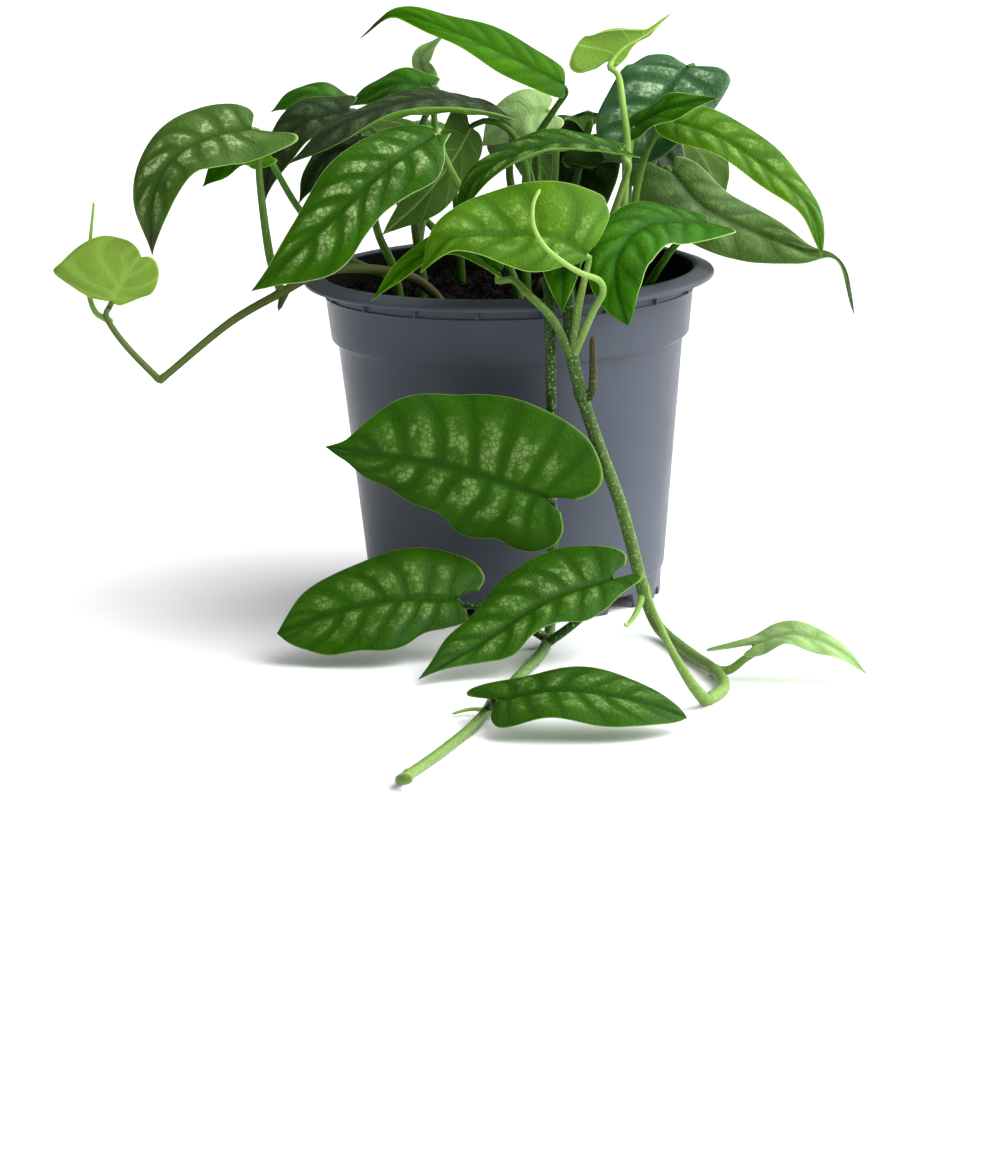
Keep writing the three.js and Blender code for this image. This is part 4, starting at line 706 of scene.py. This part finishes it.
# sizes in millimetres; a petiole's last points are measured along a blade's midrib and up from its face
stemBuild = {"rootDepths": [-26, -13, -4, 3], "soilTop": 88.5,
             "petioleEnd": [[-1.8, -2.6], [-0.5, -0.75], [0.6, -0.35]], "start": 1.4, "end": 0.85,
             "ringSpacing": 0.9, "sides": 16, "nodeSwelling": 0.22, "nodeWidth": 1.4, "roundTip": 1.5,
             "wartSize": 0.17, "wartDensity": 7e5}


def makeTubeTree():
    # paths with a girth at each vertex -> round tubes, with warts scattered over the warty stretches
    tree, given = newTree("stemTubes", {"Sides": "Int", "Wart Density": "Float", "Wart Size": "Float",
                                        "Seed": "Int", "Skin": "Material"})
    girth, warty = [addNode(tree, "GeometryNodeInputNamedAttribute", {"Name": label}, data_type="FLOAT")
                    .outputs["Attribute"] for label in ("girth", "warty")]
    path = addNode(tree, "GeometryNodeMeshToCurve", {"Mesh": given["Geometry"]}).outputs[0]
    circle = addNode(tree, "GeometryNodeCurvePrimitiveCircle",
                     {"Resolution": given["Sides"], "Radius": 1.0}).outputs[0]
    along, around = [addNode(tree, "GeometryNodeStoreNamedAttribute",
                             {"Geometry": curve, "Name": label,
                              "Value": addNode(tree, "GeometryNodeSplineParameter").outputs[measure]},
                             data_type="FLOAT", domain="POINT").outputs[0]
                     for curve, label, measure in ((path, "alongStem", "Length"),
                                                   (circle, "roundStem", "Factor"))]
    tube = addNode(tree, "GeometryNodeCurveToMesh",
                   {"Curve": along, "Profile Curve": around, "Scale": girth, "Fill Caps": True}).outputs[0]
    density = addNode(tree, "ShaderNodeMath", {0: warty, 1: given["Wart Density"]},
                      operation="MULTIPLY").outputs[0]
    scattered = addNode(tree, "GeometryNodeDistributePointsOnFaces",
                        {"Mesh": tube, "Density": density, "Seed": given["Seed"]}).outputs
    wart = addNode(tree, "GeometryNodeMeshIcoSphere",
                   {"Radius": given["Wart Size"], "Subdivisions": 1}).outputs[0]
    spread = addNode(tree, "FunctionNodeRandomValue", {2: 0.5, 3: 1.3, "Seed": 9},
                     data_type="FLOAT").outputs[1]
    placed = addNode(tree, "GeometryNodeInstanceOnPoints",
                     {"Points": scattered["Points"], "Instance": wart, "Rotation": scattered["Rotation"],
                      "Scale": spread})
    solid = addNode(tree, "GeometryNodeRealizeInstances", {"Geometry": placed.outputs[0]})
    joined = addNode(tree, "GeometryNodeJoinGeometry", {0: solid.outputs[0]})
    tree.links.new(tube, joined.inputs[0])
    smooth = addNode(tree, "GeometryNodeSetShadeSmooth", {0: joined.outputs[0]})
    return finishTree(tree, smooth.outputs[0], given["Skin"])


def bladeBase(name):
    # the base of a blade with the directions along its midrib and up from its face there
    leaf = leafBlades[name]
    tangent = curveTangent(sampledCurve(leaf["midrib"]), np.array(0.0))
    up = np.asarray(leaf["face"][0], float)
    return np.asarray(leaf["midrib"][0], float), tangent, unit(up - (up @ tangent) * tangent)


def tubePath(stem, tube, first):
    points = list(tube["path"])
    if first:
        points = [[*stem["root"], stemBuild["soilTop"] + rise] for rise in stemBuild["rootDepths"]] + points
    if "leaf" in tube:
        base, tangent, up = bladeBase(tube["leaf"])
        points += [base + along * tangent + rise * up for along, rise in stemBuild["petioleEnd"]]
    return points


def makeStem(name, stem, seed):
    vertices, edges, girths, marks = [], [], [], {"youth": [], "dryness": [], "warty": []}
    for number, tube in enumerate(stem["tubes"]):
        curve = sampledCurve(tubePath(stem, tube, number == 0))
        length = curve[2]
        share = np.linspace(0, 1, max(6, int(length / stemBuild["ringSpacing"])) + 1)
        start = stem["radius"] if number == 0 else tube.get("start", stemBuild["start"])
        end = tube.get("end", stemBuild["end"])
        girth = start + (end - start) * share
        line = curvePoint(curve, share)
        for node in tube.get("nodes", []):
            away = (share - share[np.argmin(np.linalg.norm(line - node, axis=1))]) * length
            girth *= 1 + stemBuild["nodeSwelling"] * np.exp(-(away / stemBuild["nodeWidth"]) ** 2)
        if "leaf" not in tube:
            girth *= np.sqrt(np.clip((1 - share) * length / (stemBuild["roundTip"] * end), 0.02, 1))
        first = len(vertices)
        vertices.extend(toMetres(line))
        edges.extend([first + i, first + i + 1] for i in range(len(share) - 1))
        girths.extend(girth * mm)
        for key, values in marks.items():
            low, high = tube.get(key, [0, 0])
            values.extend(low + (high - low) * share)
    mesh = bpy.data.meshes.new(name)
    mesh.from_pydata([tuple(v) for v in vertices], edges, [])
    shoot = addObject(name.replace("stem", "shoot"), mesh)
    for label, values in {"girth": girths, **marks}.items():
        storeValues(mesh, label, values)
    trailing = name.startswith("stem_trail")
    bakeNodes(shoot, tubeTree, {"Sides": stemBuild["sides"], "Seed": seed,
                                "Wart Density": stemBuild["wartDensity"] if trailing else 0.0,
                                "Wart Size": stemBuild["wartSize"] * mm,
                                "Skin": trailStem if trailing else crownStem})
    # the material's map runs in turns round the stem and centimetres along it
    places = np.zeros((2, len(shoot.data.vertices)), np.float32)
    for row, label in zip(places, ("roundStem", "alongStem")):
        shoot.data.attributes[label].data.foreach_get("value", row)
    storeMap(shoot.data, "stemMap", np.stack([places[0], places[1] * 100], -1))
    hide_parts(name)
    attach(shoot, "root")


tubeTree = makeTubeTree()
for seed, (name, stem) in enumerate(stemTubes.items()):
    makeStem(name, stem, seed)
print("stems made:", len(stemTubes))


# Pot

# Polypropylene, moulded in one piece: even grey, satin, with a faint grain from the mould.
# the near-black colour is painted shade for the wall inside the pot, not a colour of the plastic
potLook = {"grey": "#484c55", "worn": "#4f545d", "innerShadeColour": "#080706"}
potRows = [
    ("cloud", "noise", "place", 22.0, 4.0), ("wear", "ramp", "cloud", 0.35, 0.7),
    # the wall inside is painted near black up to the rim as painted shade, and matt there
    ("colour", "layer", "wear", "grey", "worn"), ("colour", "layer", "paintedInnerShade", "colour", "innerShadeColour"),
    ("scuffs", "noise", "place", 130.0, 5.0, 0.7), ("clean", "ramp", "scuffs", 0.3, 0.75, 0.28, 0.4),
    ("gloss", "ramp", "paintedInnerShade", 0.0, 1.0, "clean", 0.95), ("height", "noise", "place", 2600.0, 2.0),
]
# sizes in millimetres and degrees; a notch's place, width and height repeat every notchTurn
potBuild = {"segments": 480, "radius": 60, "height": 97.2, "wall": 1.2, "lipWidth": 5.5, "collarIn": 0.8,
            "ridgeDown": 6.2, "stepDown": 19.5, "foot": 42.3, "footHeight": 4.4, "plate": 1.4,
            "wallFoot": [43.6, 9.6], "wallTop": 50.4, "stepTop": 52.32, "notchTurn": 60,
            "notches": [[-14, 10, 4.3], [-44, 4, 2.6], [-58, 4, 2.6]], "holes": 8, "holeRing": 30,
            "holeRadius": 3.5,
            "ribs": 18, "ribRing": 54.3, "ribSize": [1.6, 0.7, 3.1], "ribDown": 4.4}
# the wall inside that gets the painted shade: its reach, and the radius of the wall's middle as start,
# slope and start height
innerShadeBuild = {"radius": 53.9, "from": 7, "rimDown": 0.9, "stepDown": 19.7, "below": [42, 0.088, 0],
              "above": [51.75, 0.115, 78]}


def potProfile():
    # radius and height from under the foot, up the outside, over the lip, down the inside, under the plate
    lip, height, wall, foot = [potBuild[key] for key in ("radius", "height", "wall", "foot")]
    rim = lip - potBuild["lipWidth"]
    collar = rim - potBuild["collarIn"]
    ridge, step = height - potBuild["ridgeDown"], height - potBuild["stepDown"]
    plateLow = potBuild["footHeight"]
    plate = plateLow + potBuild["plate"]
    wallFoot, wallTop = potBuild["wallFoot"], potBuild["wallTop"]
    stepTop = [potBuild["stepTop"], step + 0.6]

    def near(place, *offsets):
        return (np.array(place) + offsets).tolist()

    def straight(start, end, count):
        return np.linspace(start, end, count, endpoint=False)[1:].tolist()

    return np.array([
        *near([foot, 0], [0.3 - wall, 0], [-0.3, 0], [-0.05, 0.25], [0, 1], [0.2, 4.4], [0.35, 6.2],
              [0.5, 7.4], [0.8, 8.2]),
        *near(wallFoot, [-0.15, -0.8], [0, 0]), *straight(wallFoot, [wallTop, step - 1.4], 12),
        *near([wallTop, step], [0, -1.5], [0.1, -1.25], [0.35, -1], [1.5, -0.1], [1.8, 0.2]), stepTop,
        *straight(stepTop, [collar, ridge - 1], 6),
        *near([collar, ridge], [0, -0.7], [0.1, -0.35], [0.45, -0.15], [0.6, 0], [0.5, 0.2],
              [0.15, 0.35], [0.1, 0.7]),
        *near([collar, height], [0.15, -3.6], [0.25, -3.1], [0.6, -2.9]),
        *near([lip, height], [-1.2, -3], [-0.5, -2.95], [-0.15, -2.75], [0, -2.4], [-0.05, -2],
              [-0.3, -1.6], [-0.9, -1.3], [-2.4, -0.75]),
        *near([rim, height], [1.4, -0.15], [0.8, 0], [0.3, 0], [0, -0.1], [-0.4, -0.4], [-0.8, -1],
              [-1.2, -3]),
        [collar - wall, ridge],
        *near([wallTop - wall, step], [1.9, 0.9], [1, 0.3], [0, -0.6]), *near(wallFoot, [-wall, -0.2]),
        *near([foot - wall, plate], [0.2, 0.6], [-0.4, 0]), *[[radius, plate] for radius in (30, 15, 0)],
        *[[radius, plateLow] for radius in (0, 15, 30, foot - wall)]])


def notchHeight(turn):
    # how high the foot ring is cut away at each turn, in degrees from the front
    height = np.zeros_like(turn)
    every = potBuild["notchTurn"]
    for centre, width, rise in potBuild["notches"]:
        away = np.radians(np.abs((turn - centre + every / 2) % every - every / 2)) * potBuild["foot"]
        height = np.maximum(height, rise * (1 - smoothStep(width / 2 - 0.6, width / 2 + 0.9, away)))
    return height


def makePot():
    profile = potProfile()
    segments, plate = potBuild["segments"], potBuild["footHeight"]
    turn = np.arange(segments)[:, None] * 360 / segments
    cut, angle = notchHeight(turn), np.radians(turn)
    radius, height = [np.broadcast_to(profile[:, k], (segments, len(profile))) for k in (0, 1)]
    height = np.where(height < plate, cut + height * (plate - cut) / plate, height)
    rings = np.stack([radius * np.sin(angle), -radius * np.cos(angle), height], -1)
    mesh = bmesh.new()
    points = [[mesh.verts.new(toMetres(p)) for p in ring] for ring in rings]
    for here, ahead in zip(points, points[1:] + points[:1]):
        for j in range(len(profile)):
            following = (j + 1) % len(profile)
            if profile[j, 0] or profile[following, 0]:
                mesh.faces.new([here[j], ahead[j], ahead[following], here[following]])
    bmesh.ops.remove_doubles(mesh, verts=mesh.verts, dist=1e-7)
    bmesh.ops.dissolve_degenerate(mesh, edges=mesh.edges, dist=1e-7)
    bmesh.ops.recalc_face_normals(mesh, faces=mesh.faces)
    data = bpy.data.meshes.new("nurseryPot")
    mesh.to_mesh(data)
    mesh.free()
    data.materials.append(potPlastic)
    pot = addObject("nurseryPot", data)
    drillHoles(pot)
    # painted shade: a mask of the wall inside, from near the bottom to just under the rim
    places = (np.array([v.co for v in pot.data.vertices]) - plantOrigin) / mm
    radius, height = np.hypot(places[:, 0], places[:, 1]), places[:, 2]
    below, above = [start + (height - base) * slope
                    for start, slope, base in (innerShadeBuild["below"], innerShadeBuild["above"])]
    wallMiddle = np.where(height < potBuild["height"] - innerShadeBuild["stepDown"], below, above)
    innerShaded = ((radius <= wallMiddle) & (radius < innerShadeBuild["radius"]) & (height > innerShadeBuild["from"])
               & (height < potBuild["height"] - innerShadeBuild["rimDown"]))
    storeValues(pot.data, "paintedInnerShade", innerShaded)
    pot.data.polygons.foreach_set("use_smooth", [True] * len(pot.data.polygons))
    pot.data.set_sharp_from_angle(angle=math.radians(42))
    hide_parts("pot")
    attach(pot, "root")


def drillHoles(pot):
    # the drain holes through the base plate, cut by one joined cutter
    cutter = bmesh.new()
    radius = potBuild["holeRadius"] * mm
    middle = potBuild["footHeight"] + potBuild["plate"] / 2
    for k in range(potBuild["holes"]):
        angle = 2 * math.pi * k / potBuild["holes"]
        centre = toMetres([potBuild["holeRing"] * math.sin(angle), potBuild["holeRing"] * math.cos(angle),
                           middle])
        bmesh.ops.create_cone(cutter, cap_ends=True, segments=36, radius1=radius, radius2=radius,
                              depth=6 * mm,
                              matrix=Matrix.Translation(Vector(centre)))
    data = bpy.data.meshes.new("drainCutter")
    cutter.to_mesh(data)
    cutter.free()
    tool = addObject("drainCutter", data)
    cut = pot.modifiers.new("drainHoles", "BOOLEAN")
    cut.operation = "DIFFERENCE"
    cut.solver = "EXACT"
    cut.object = tool
    keepResult(pot)
    bpy.data.objects.remove(tool)


def makeRibTree():
    # a ring of small fins under the lip, each an upright block
    tree, given = newTree("rimRibs", {"Ribs": "Int", "Radius": "Float", "Size": "Vector",
                                      "Height": "Vector", "Plastic": "Material"})
    ring = addNode(tree, "GeometryNodeMeshCircle", {"Vertices": given["Ribs"], "Radius": given["Radius"]})
    block = addNode(tree, "GeometryNodeMeshCube", {"Size": given["Size"], "Vertices X": 3, "Vertices Y": 3,
                                                   "Vertices Z": 4})
    outward = addNode(tree, "GeometryNodeInputPosition").outputs[0]
    facing = addNode(tree, "FunctionNodeAlignEulerToVector", {"Vector": outward}, axis="X")
    placed = addNode(tree, "GeometryNodeInstanceOnPoints",
                     {"Points": ring.outputs[0], "Instance": block.outputs[0],
                      "Rotation": facing.outputs[0]})
    raised = addNode(tree, "GeometryNodeTransform",
                     {"Geometry": placed.outputs[0], "Translation": given["Height"]})
    solid = addNode(tree, "GeometryNodeRealizeInstances", {"Geometry": raised.outputs[0]})
    return finishTree(tree, solid.outputs[0], given["Plastic"])


def makeRibs():
    ribs = addObject("lipRibs", bpy.data.meshes.new("lipRibs"))
    bakeNodes(ribs, makeRibTree(), {
        "Ribs": potBuild["ribs"], "Radius": potBuild["ribRing"] * mm,
        "Size": tuple(size * mm for size in potBuild["ribSize"]),
        "Height": tuple(toMetres([0, 0, potBuild["height"] - potBuild["ribDown"]])), "Plastic": potPlastic})
    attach(ribs, "root")


potSkin = {"IOR": 1.49, "Specular IOR Level": 0.08}
potPlastic = makeMaterial("potPolypropylene", potSkin, potLook, ["paintedInnerShade"], potRows, 0.12, 0.0001)
makePot()
makeRibs()
print("pot made")


# Soil

# Potting mix: damp peat and fine bark with lighter fibres and crumbs; its own dark brown is darkened
# further to nearly black as painted shade inside the pot.
soilLook = {"peat": "#050302", "crumb": "#0d0805", "fibre": "#251c12"}
soilRows = [
    ("height", "noise", "place", 420.0, 5.0, 0.7), ("crumbly", "ramp", "height", 0.42, 0.7),
    ("flecks", "patches", "place", 300.0), ("pick", "first", "flecks"),
    ("rare", "ramp", "pick", 0.84, 0.9, 0.0, 0.7),
    ("colour", "layer", "crumbly", "peat", "crumb"), ("colour", "layer", "rare", "colour", "fibre"),
]
# sizes in millimetres; the outline holds radius and height from the bottom up the side to near the top
soilBuild = {"top": 88.5, "edge": 52.4, "bottom": 6.2,
             "outline": [[41, 6.2], [42.2, 9], [49, 77.5], [50.7, 79.5]],
             "rings": 40, "segments": 120, "swell": 0.9, "lump": 0.8, "crumbs": 1850, "crumbSize": 0.95,
             "crumbRough": 1.4}


def soilHeight(x, y):
    # the same low swells as the solid's, with finer lumps over them
    broad = np.sin(0.31 * x + 1) * np.cos(0.27 * y) + 0.6 * np.sin(0.55 * (x + y))
    fine = (0.5 * np.sin(1.3 * x + 0.7 * y) * np.sin(1.7 * y - 0.4 * x)
            + 0.25 * np.sin(3.1 * x) * np.sin(2.9 * y))
    return soilBuild["top"] + soilBuild["swell"] * broad + soilBuild["lump"] * fine


def makeSoilBody():
    # rings of vertices from the middle of the bottom, up the side and in over the top to its middle
    segments, outline = soilBuild["segments"], soilBuild["outline"]
    angle = 2 * math.pi * np.arange(segments) / segments
    sides = [np.stack([radius * np.cos(angle), radius * np.sin(angle), np.full(segments, height)], -1)
             for radius, height in outline]
    tops = []
    for radius in soilBuild["edge"] * np.linspace(1, 0, soilBuild["rings"], endpoint=False):
        x, y = radius * np.cos(angle), radius * np.sin(angle)
        tops.append(np.stack([x, y, soilHeight(x, y)], -1))
    vertices = np.vstack([[[0, 0, soilBuild["bottom"]]], *sides, *tops, [[0, 0, soilHeight(0, 0)]]])
    start = np.arange(1, len(vertices) - 1).reshape(-1, segments)
    ahead = np.roll(start, -1, axis=1)
    faces = [[0, second, first] for first, second in zip(start[0], ahead[0])]
    faces += np.stack([start[:-1], ahead[:-1], ahead[1:], start[1:]], -1).reshape(-1, 4).tolist()
    faces += [[first, second, len(vertices) - 1] for first, second in zip(start[-1], ahead[-1])]
    body = meshObject("soilBody", toMetres(vertices), faces, soilMix)
    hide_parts("soil")
    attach(body, "root")
    return body


def makeCrumbTree():
    # crumbs of bark and peat scattered over the soil's top, each a squashed, turned lump
    tree, given = newTree("soilCrumbs", {"Density": "Float", "Size": "Float", "Roughness": "Float",
                                         "Seed": "Int", "Mix": "Material"})
    normal = addNode(tree, "GeometryNodeInputNormal").outputs[0]
    upward = addNode(tree, "ShaderNodeSeparateXYZ", {0: normal}).outputs["Z"]
    onTop = addNode(tree, "ShaderNodeMath", {0: upward, 1: 0.5}, operation="GREATER_THAN").outputs[0]
    points = addNode(tree, "GeometryNodeDistributePointsOnFaces",
                     {"Mesh": given["Geometry"], "Selection": onTop, "Density": given["Density"],
                      "Seed": given["Seed"]}).outputs["Points"]
    lump = addNode(tree, "GeometryNodeMeshIcoSphere",
                   {"Radius": given["Size"], "Subdivisions": 2}).outputs[0]
    noise = addNode(tree, "ShaderNodeTexNoise", {"Scale": 900.0, "Detail": 1.0}).outputs["Color"]
    centred = addNode(tree, "ShaderNodeVectorMath", {0: noise, 1: (0.5, 0.5, 0.5)},
                      operation="SUBTRACT").outputs[0]
    shove = addNode(tree, "ShaderNodeVectorMath", {0: centred, "Scale": given["Roughness"]},
                    operation="SCALE").outputs[0]
    rough = addNode(tree, "GeometryNodeSetPosition", {"Geometry": lump, "Offset": shove}).outputs[0]
    turn, stretch = [addNode(tree, "FunctionNodeRandomValue", {0: least, 1: most, "Seed": seed},
                             data_type="FLOAT_VECTOR").outputs[0]
                     for least, most, seed in (((0, 0, 0), (6.28, 6.28, 6.28), 5),
                                               ((0.35, 0.3, 0.25), (1.7, 1.0, 0.8), 6))]
    placed = addNode(tree, "GeometryNodeInstanceOnPoints",
                     {"Points": points, "Instance": rough, "Rotation": turn, "Scale": stretch})
    solid = addNode(tree, "GeometryNodeRealizeInstances", {"Geometry": placed.outputs[0]})
    return finishTree(tree, solid.outputs[0], given["Mix"])


def makeCrumbs(body):
    crumbs = addObject("soilCrumbs", body.data.copy())
    area = math.pi * (soilBuild["edge"] * mm) ** 2
    bakeNodes(crumbs, makeCrumbTree(), {
        "Density": soilBuild["crumbs"] / area, "Size": soilBuild["crumbSize"] * mm,
        "Roughness": soilBuild["crumbRough"] * mm, "Seed": 11, "Mix": soilMix})
    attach(crumbs, "root")


soilSkin = {"Roughness": 0.85, "IOR": 1.4, "Specular IOR Level": 0.1}
soilMix = makeMaterial("pottingMix", soilSkin, soilLook, [], soilRows, 0.8, 0.0006)
makeCrumbs(makeSoilBody())
print("soil made")


# Stage: floor, light and camera

# soft studio light, bright from the right and above and dim elsewhere; a glow has a way, where its edge
# starts and ends, and a strength
stageLook = {"floor": "#f2f3f5", "floorRoughness": 0.9, "floorSize": 8.0, "dim": 0.05,
             "glows": [[(0.1, 0.0, 0.99), 0.0, 1.0, 0.66], [(0.94, 0.05, 0.34), 0.35, 0.95, 4.4]],
             "sun": 1.1, "sunAngle": 40.0, "sunFrom": (0.5, -0.45, 0.9)}
# the photograph's view, fitted to the pot: distance from the pot's axis and aim in millimetres, tilt and
# roll in degrees, the focal length and the picture's height in pixels
cameraFit = {"distance": 1800, "tilt": 12.43, "roll": -1.494, "aim": [-4.94, 0, 2.64], "focal": 6096,
             "frameHeight": 1168, "sensor": 36, "clip": [0.05, 50]}


def makeFloor():
    material = newMaterial("paleSweep", {"Base Color": linearColour(stageLook["floor"]),
                                         "Roughness": stageLook["floorRoughness"]})[0]
    size = stageLook["floorSize"]
    floor = meshObject("floor", [(-size, -size, 0), (size, -size, 0), (size, size, 0), (-size, size, 0)],
                       [[0, 1, 2, 3]], material)


def makeLight():
    world = bpy.data.worlds.new("studio")
    bpy.context.scene.world = world
    world.use_nodes = True
    tree = world.node_tree
    direction = addNode(tree, "ShaderNodeTexCoord").outputs["Generated"]
    glow = stageLook["dim"]
    for way, low, high, strength in stageLook["glows"]:
        towards = addNode(tree, "ShaderNodeVectorMath", {0: direction, 1: way}, operation="DOT_PRODUCT")
        patch = addNode(tree, "ShaderNodeMapRange",
                        {0: towards.outputs["Value"], 1: low, 2: high, 3: 0.0, 4: strength},
                        interpolation_type="SMOOTHSTEP").outputs[0]
        glow = addNode(tree, "ShaderNodeMath", {0: patch, 1: glow}, operation="ADD").outputs[0]
    background = tree.nodes["Background"]
    background.inputs["Color"].default_value = (1.0, 1.0, 1.0, 1.0)
    tree.links.new(glow, background.inputs["Strength"])
    sun = bpy.data.lights.new("softKey", "SUN")
    sun.energy = stageLook["sun"]
    sun.angle = math.radians(stageLook["sunAngle"])
    key = addObject("softKey", sun)
    key.rotation_mode = "QUATERNION"
    key.rotation_quaternion = Vector(stageLook["sunFrom"]).to_track_quat("Z", "Y")


def makeCamera():
    tilt, roll = math.radians(cameraFit["tilt"]), math.radians(cameraFit["roll"])
    forward = Vector((0, math.cos(tilt), -math.sin(tilt)))
    right, up = Vector((1, 0, 0)), Vector((0, math.sin(tilt), math.cos(tilt)))
    turnedRight = right * math.cos(roll) + up * math.sin(roll)
    turnedUp = up * math.cos(roll) - right * math.sin(roll)
    data = bpy.data.cameras.new("photoView")
    data.sensor_width = cameraFit["sensor"]
    data.lens = cameraFit["sensor"] * cameraFit["focal"] / cameraFit["frameHeight"]
    data.clip_start, data.clip_end = cameraFit["clip"]
    camera = addObject("photoView", data)
    aim = Vector(toMetres(cameraFit["aim"]))
    facing = Matrix((turnedRight, turnedUp, -forward)).transposed().to_4x4()
    camera.matrix_world = Matrix.Translation(aim - forward * cameraFit["distance"] * mm) @ facing
    bpy.context.scene.camera = camera


makeFloor()
makeLight()
makeCamera()
bpy.context.scene.view_settings.view_transform = "Standard"
print("stage made")
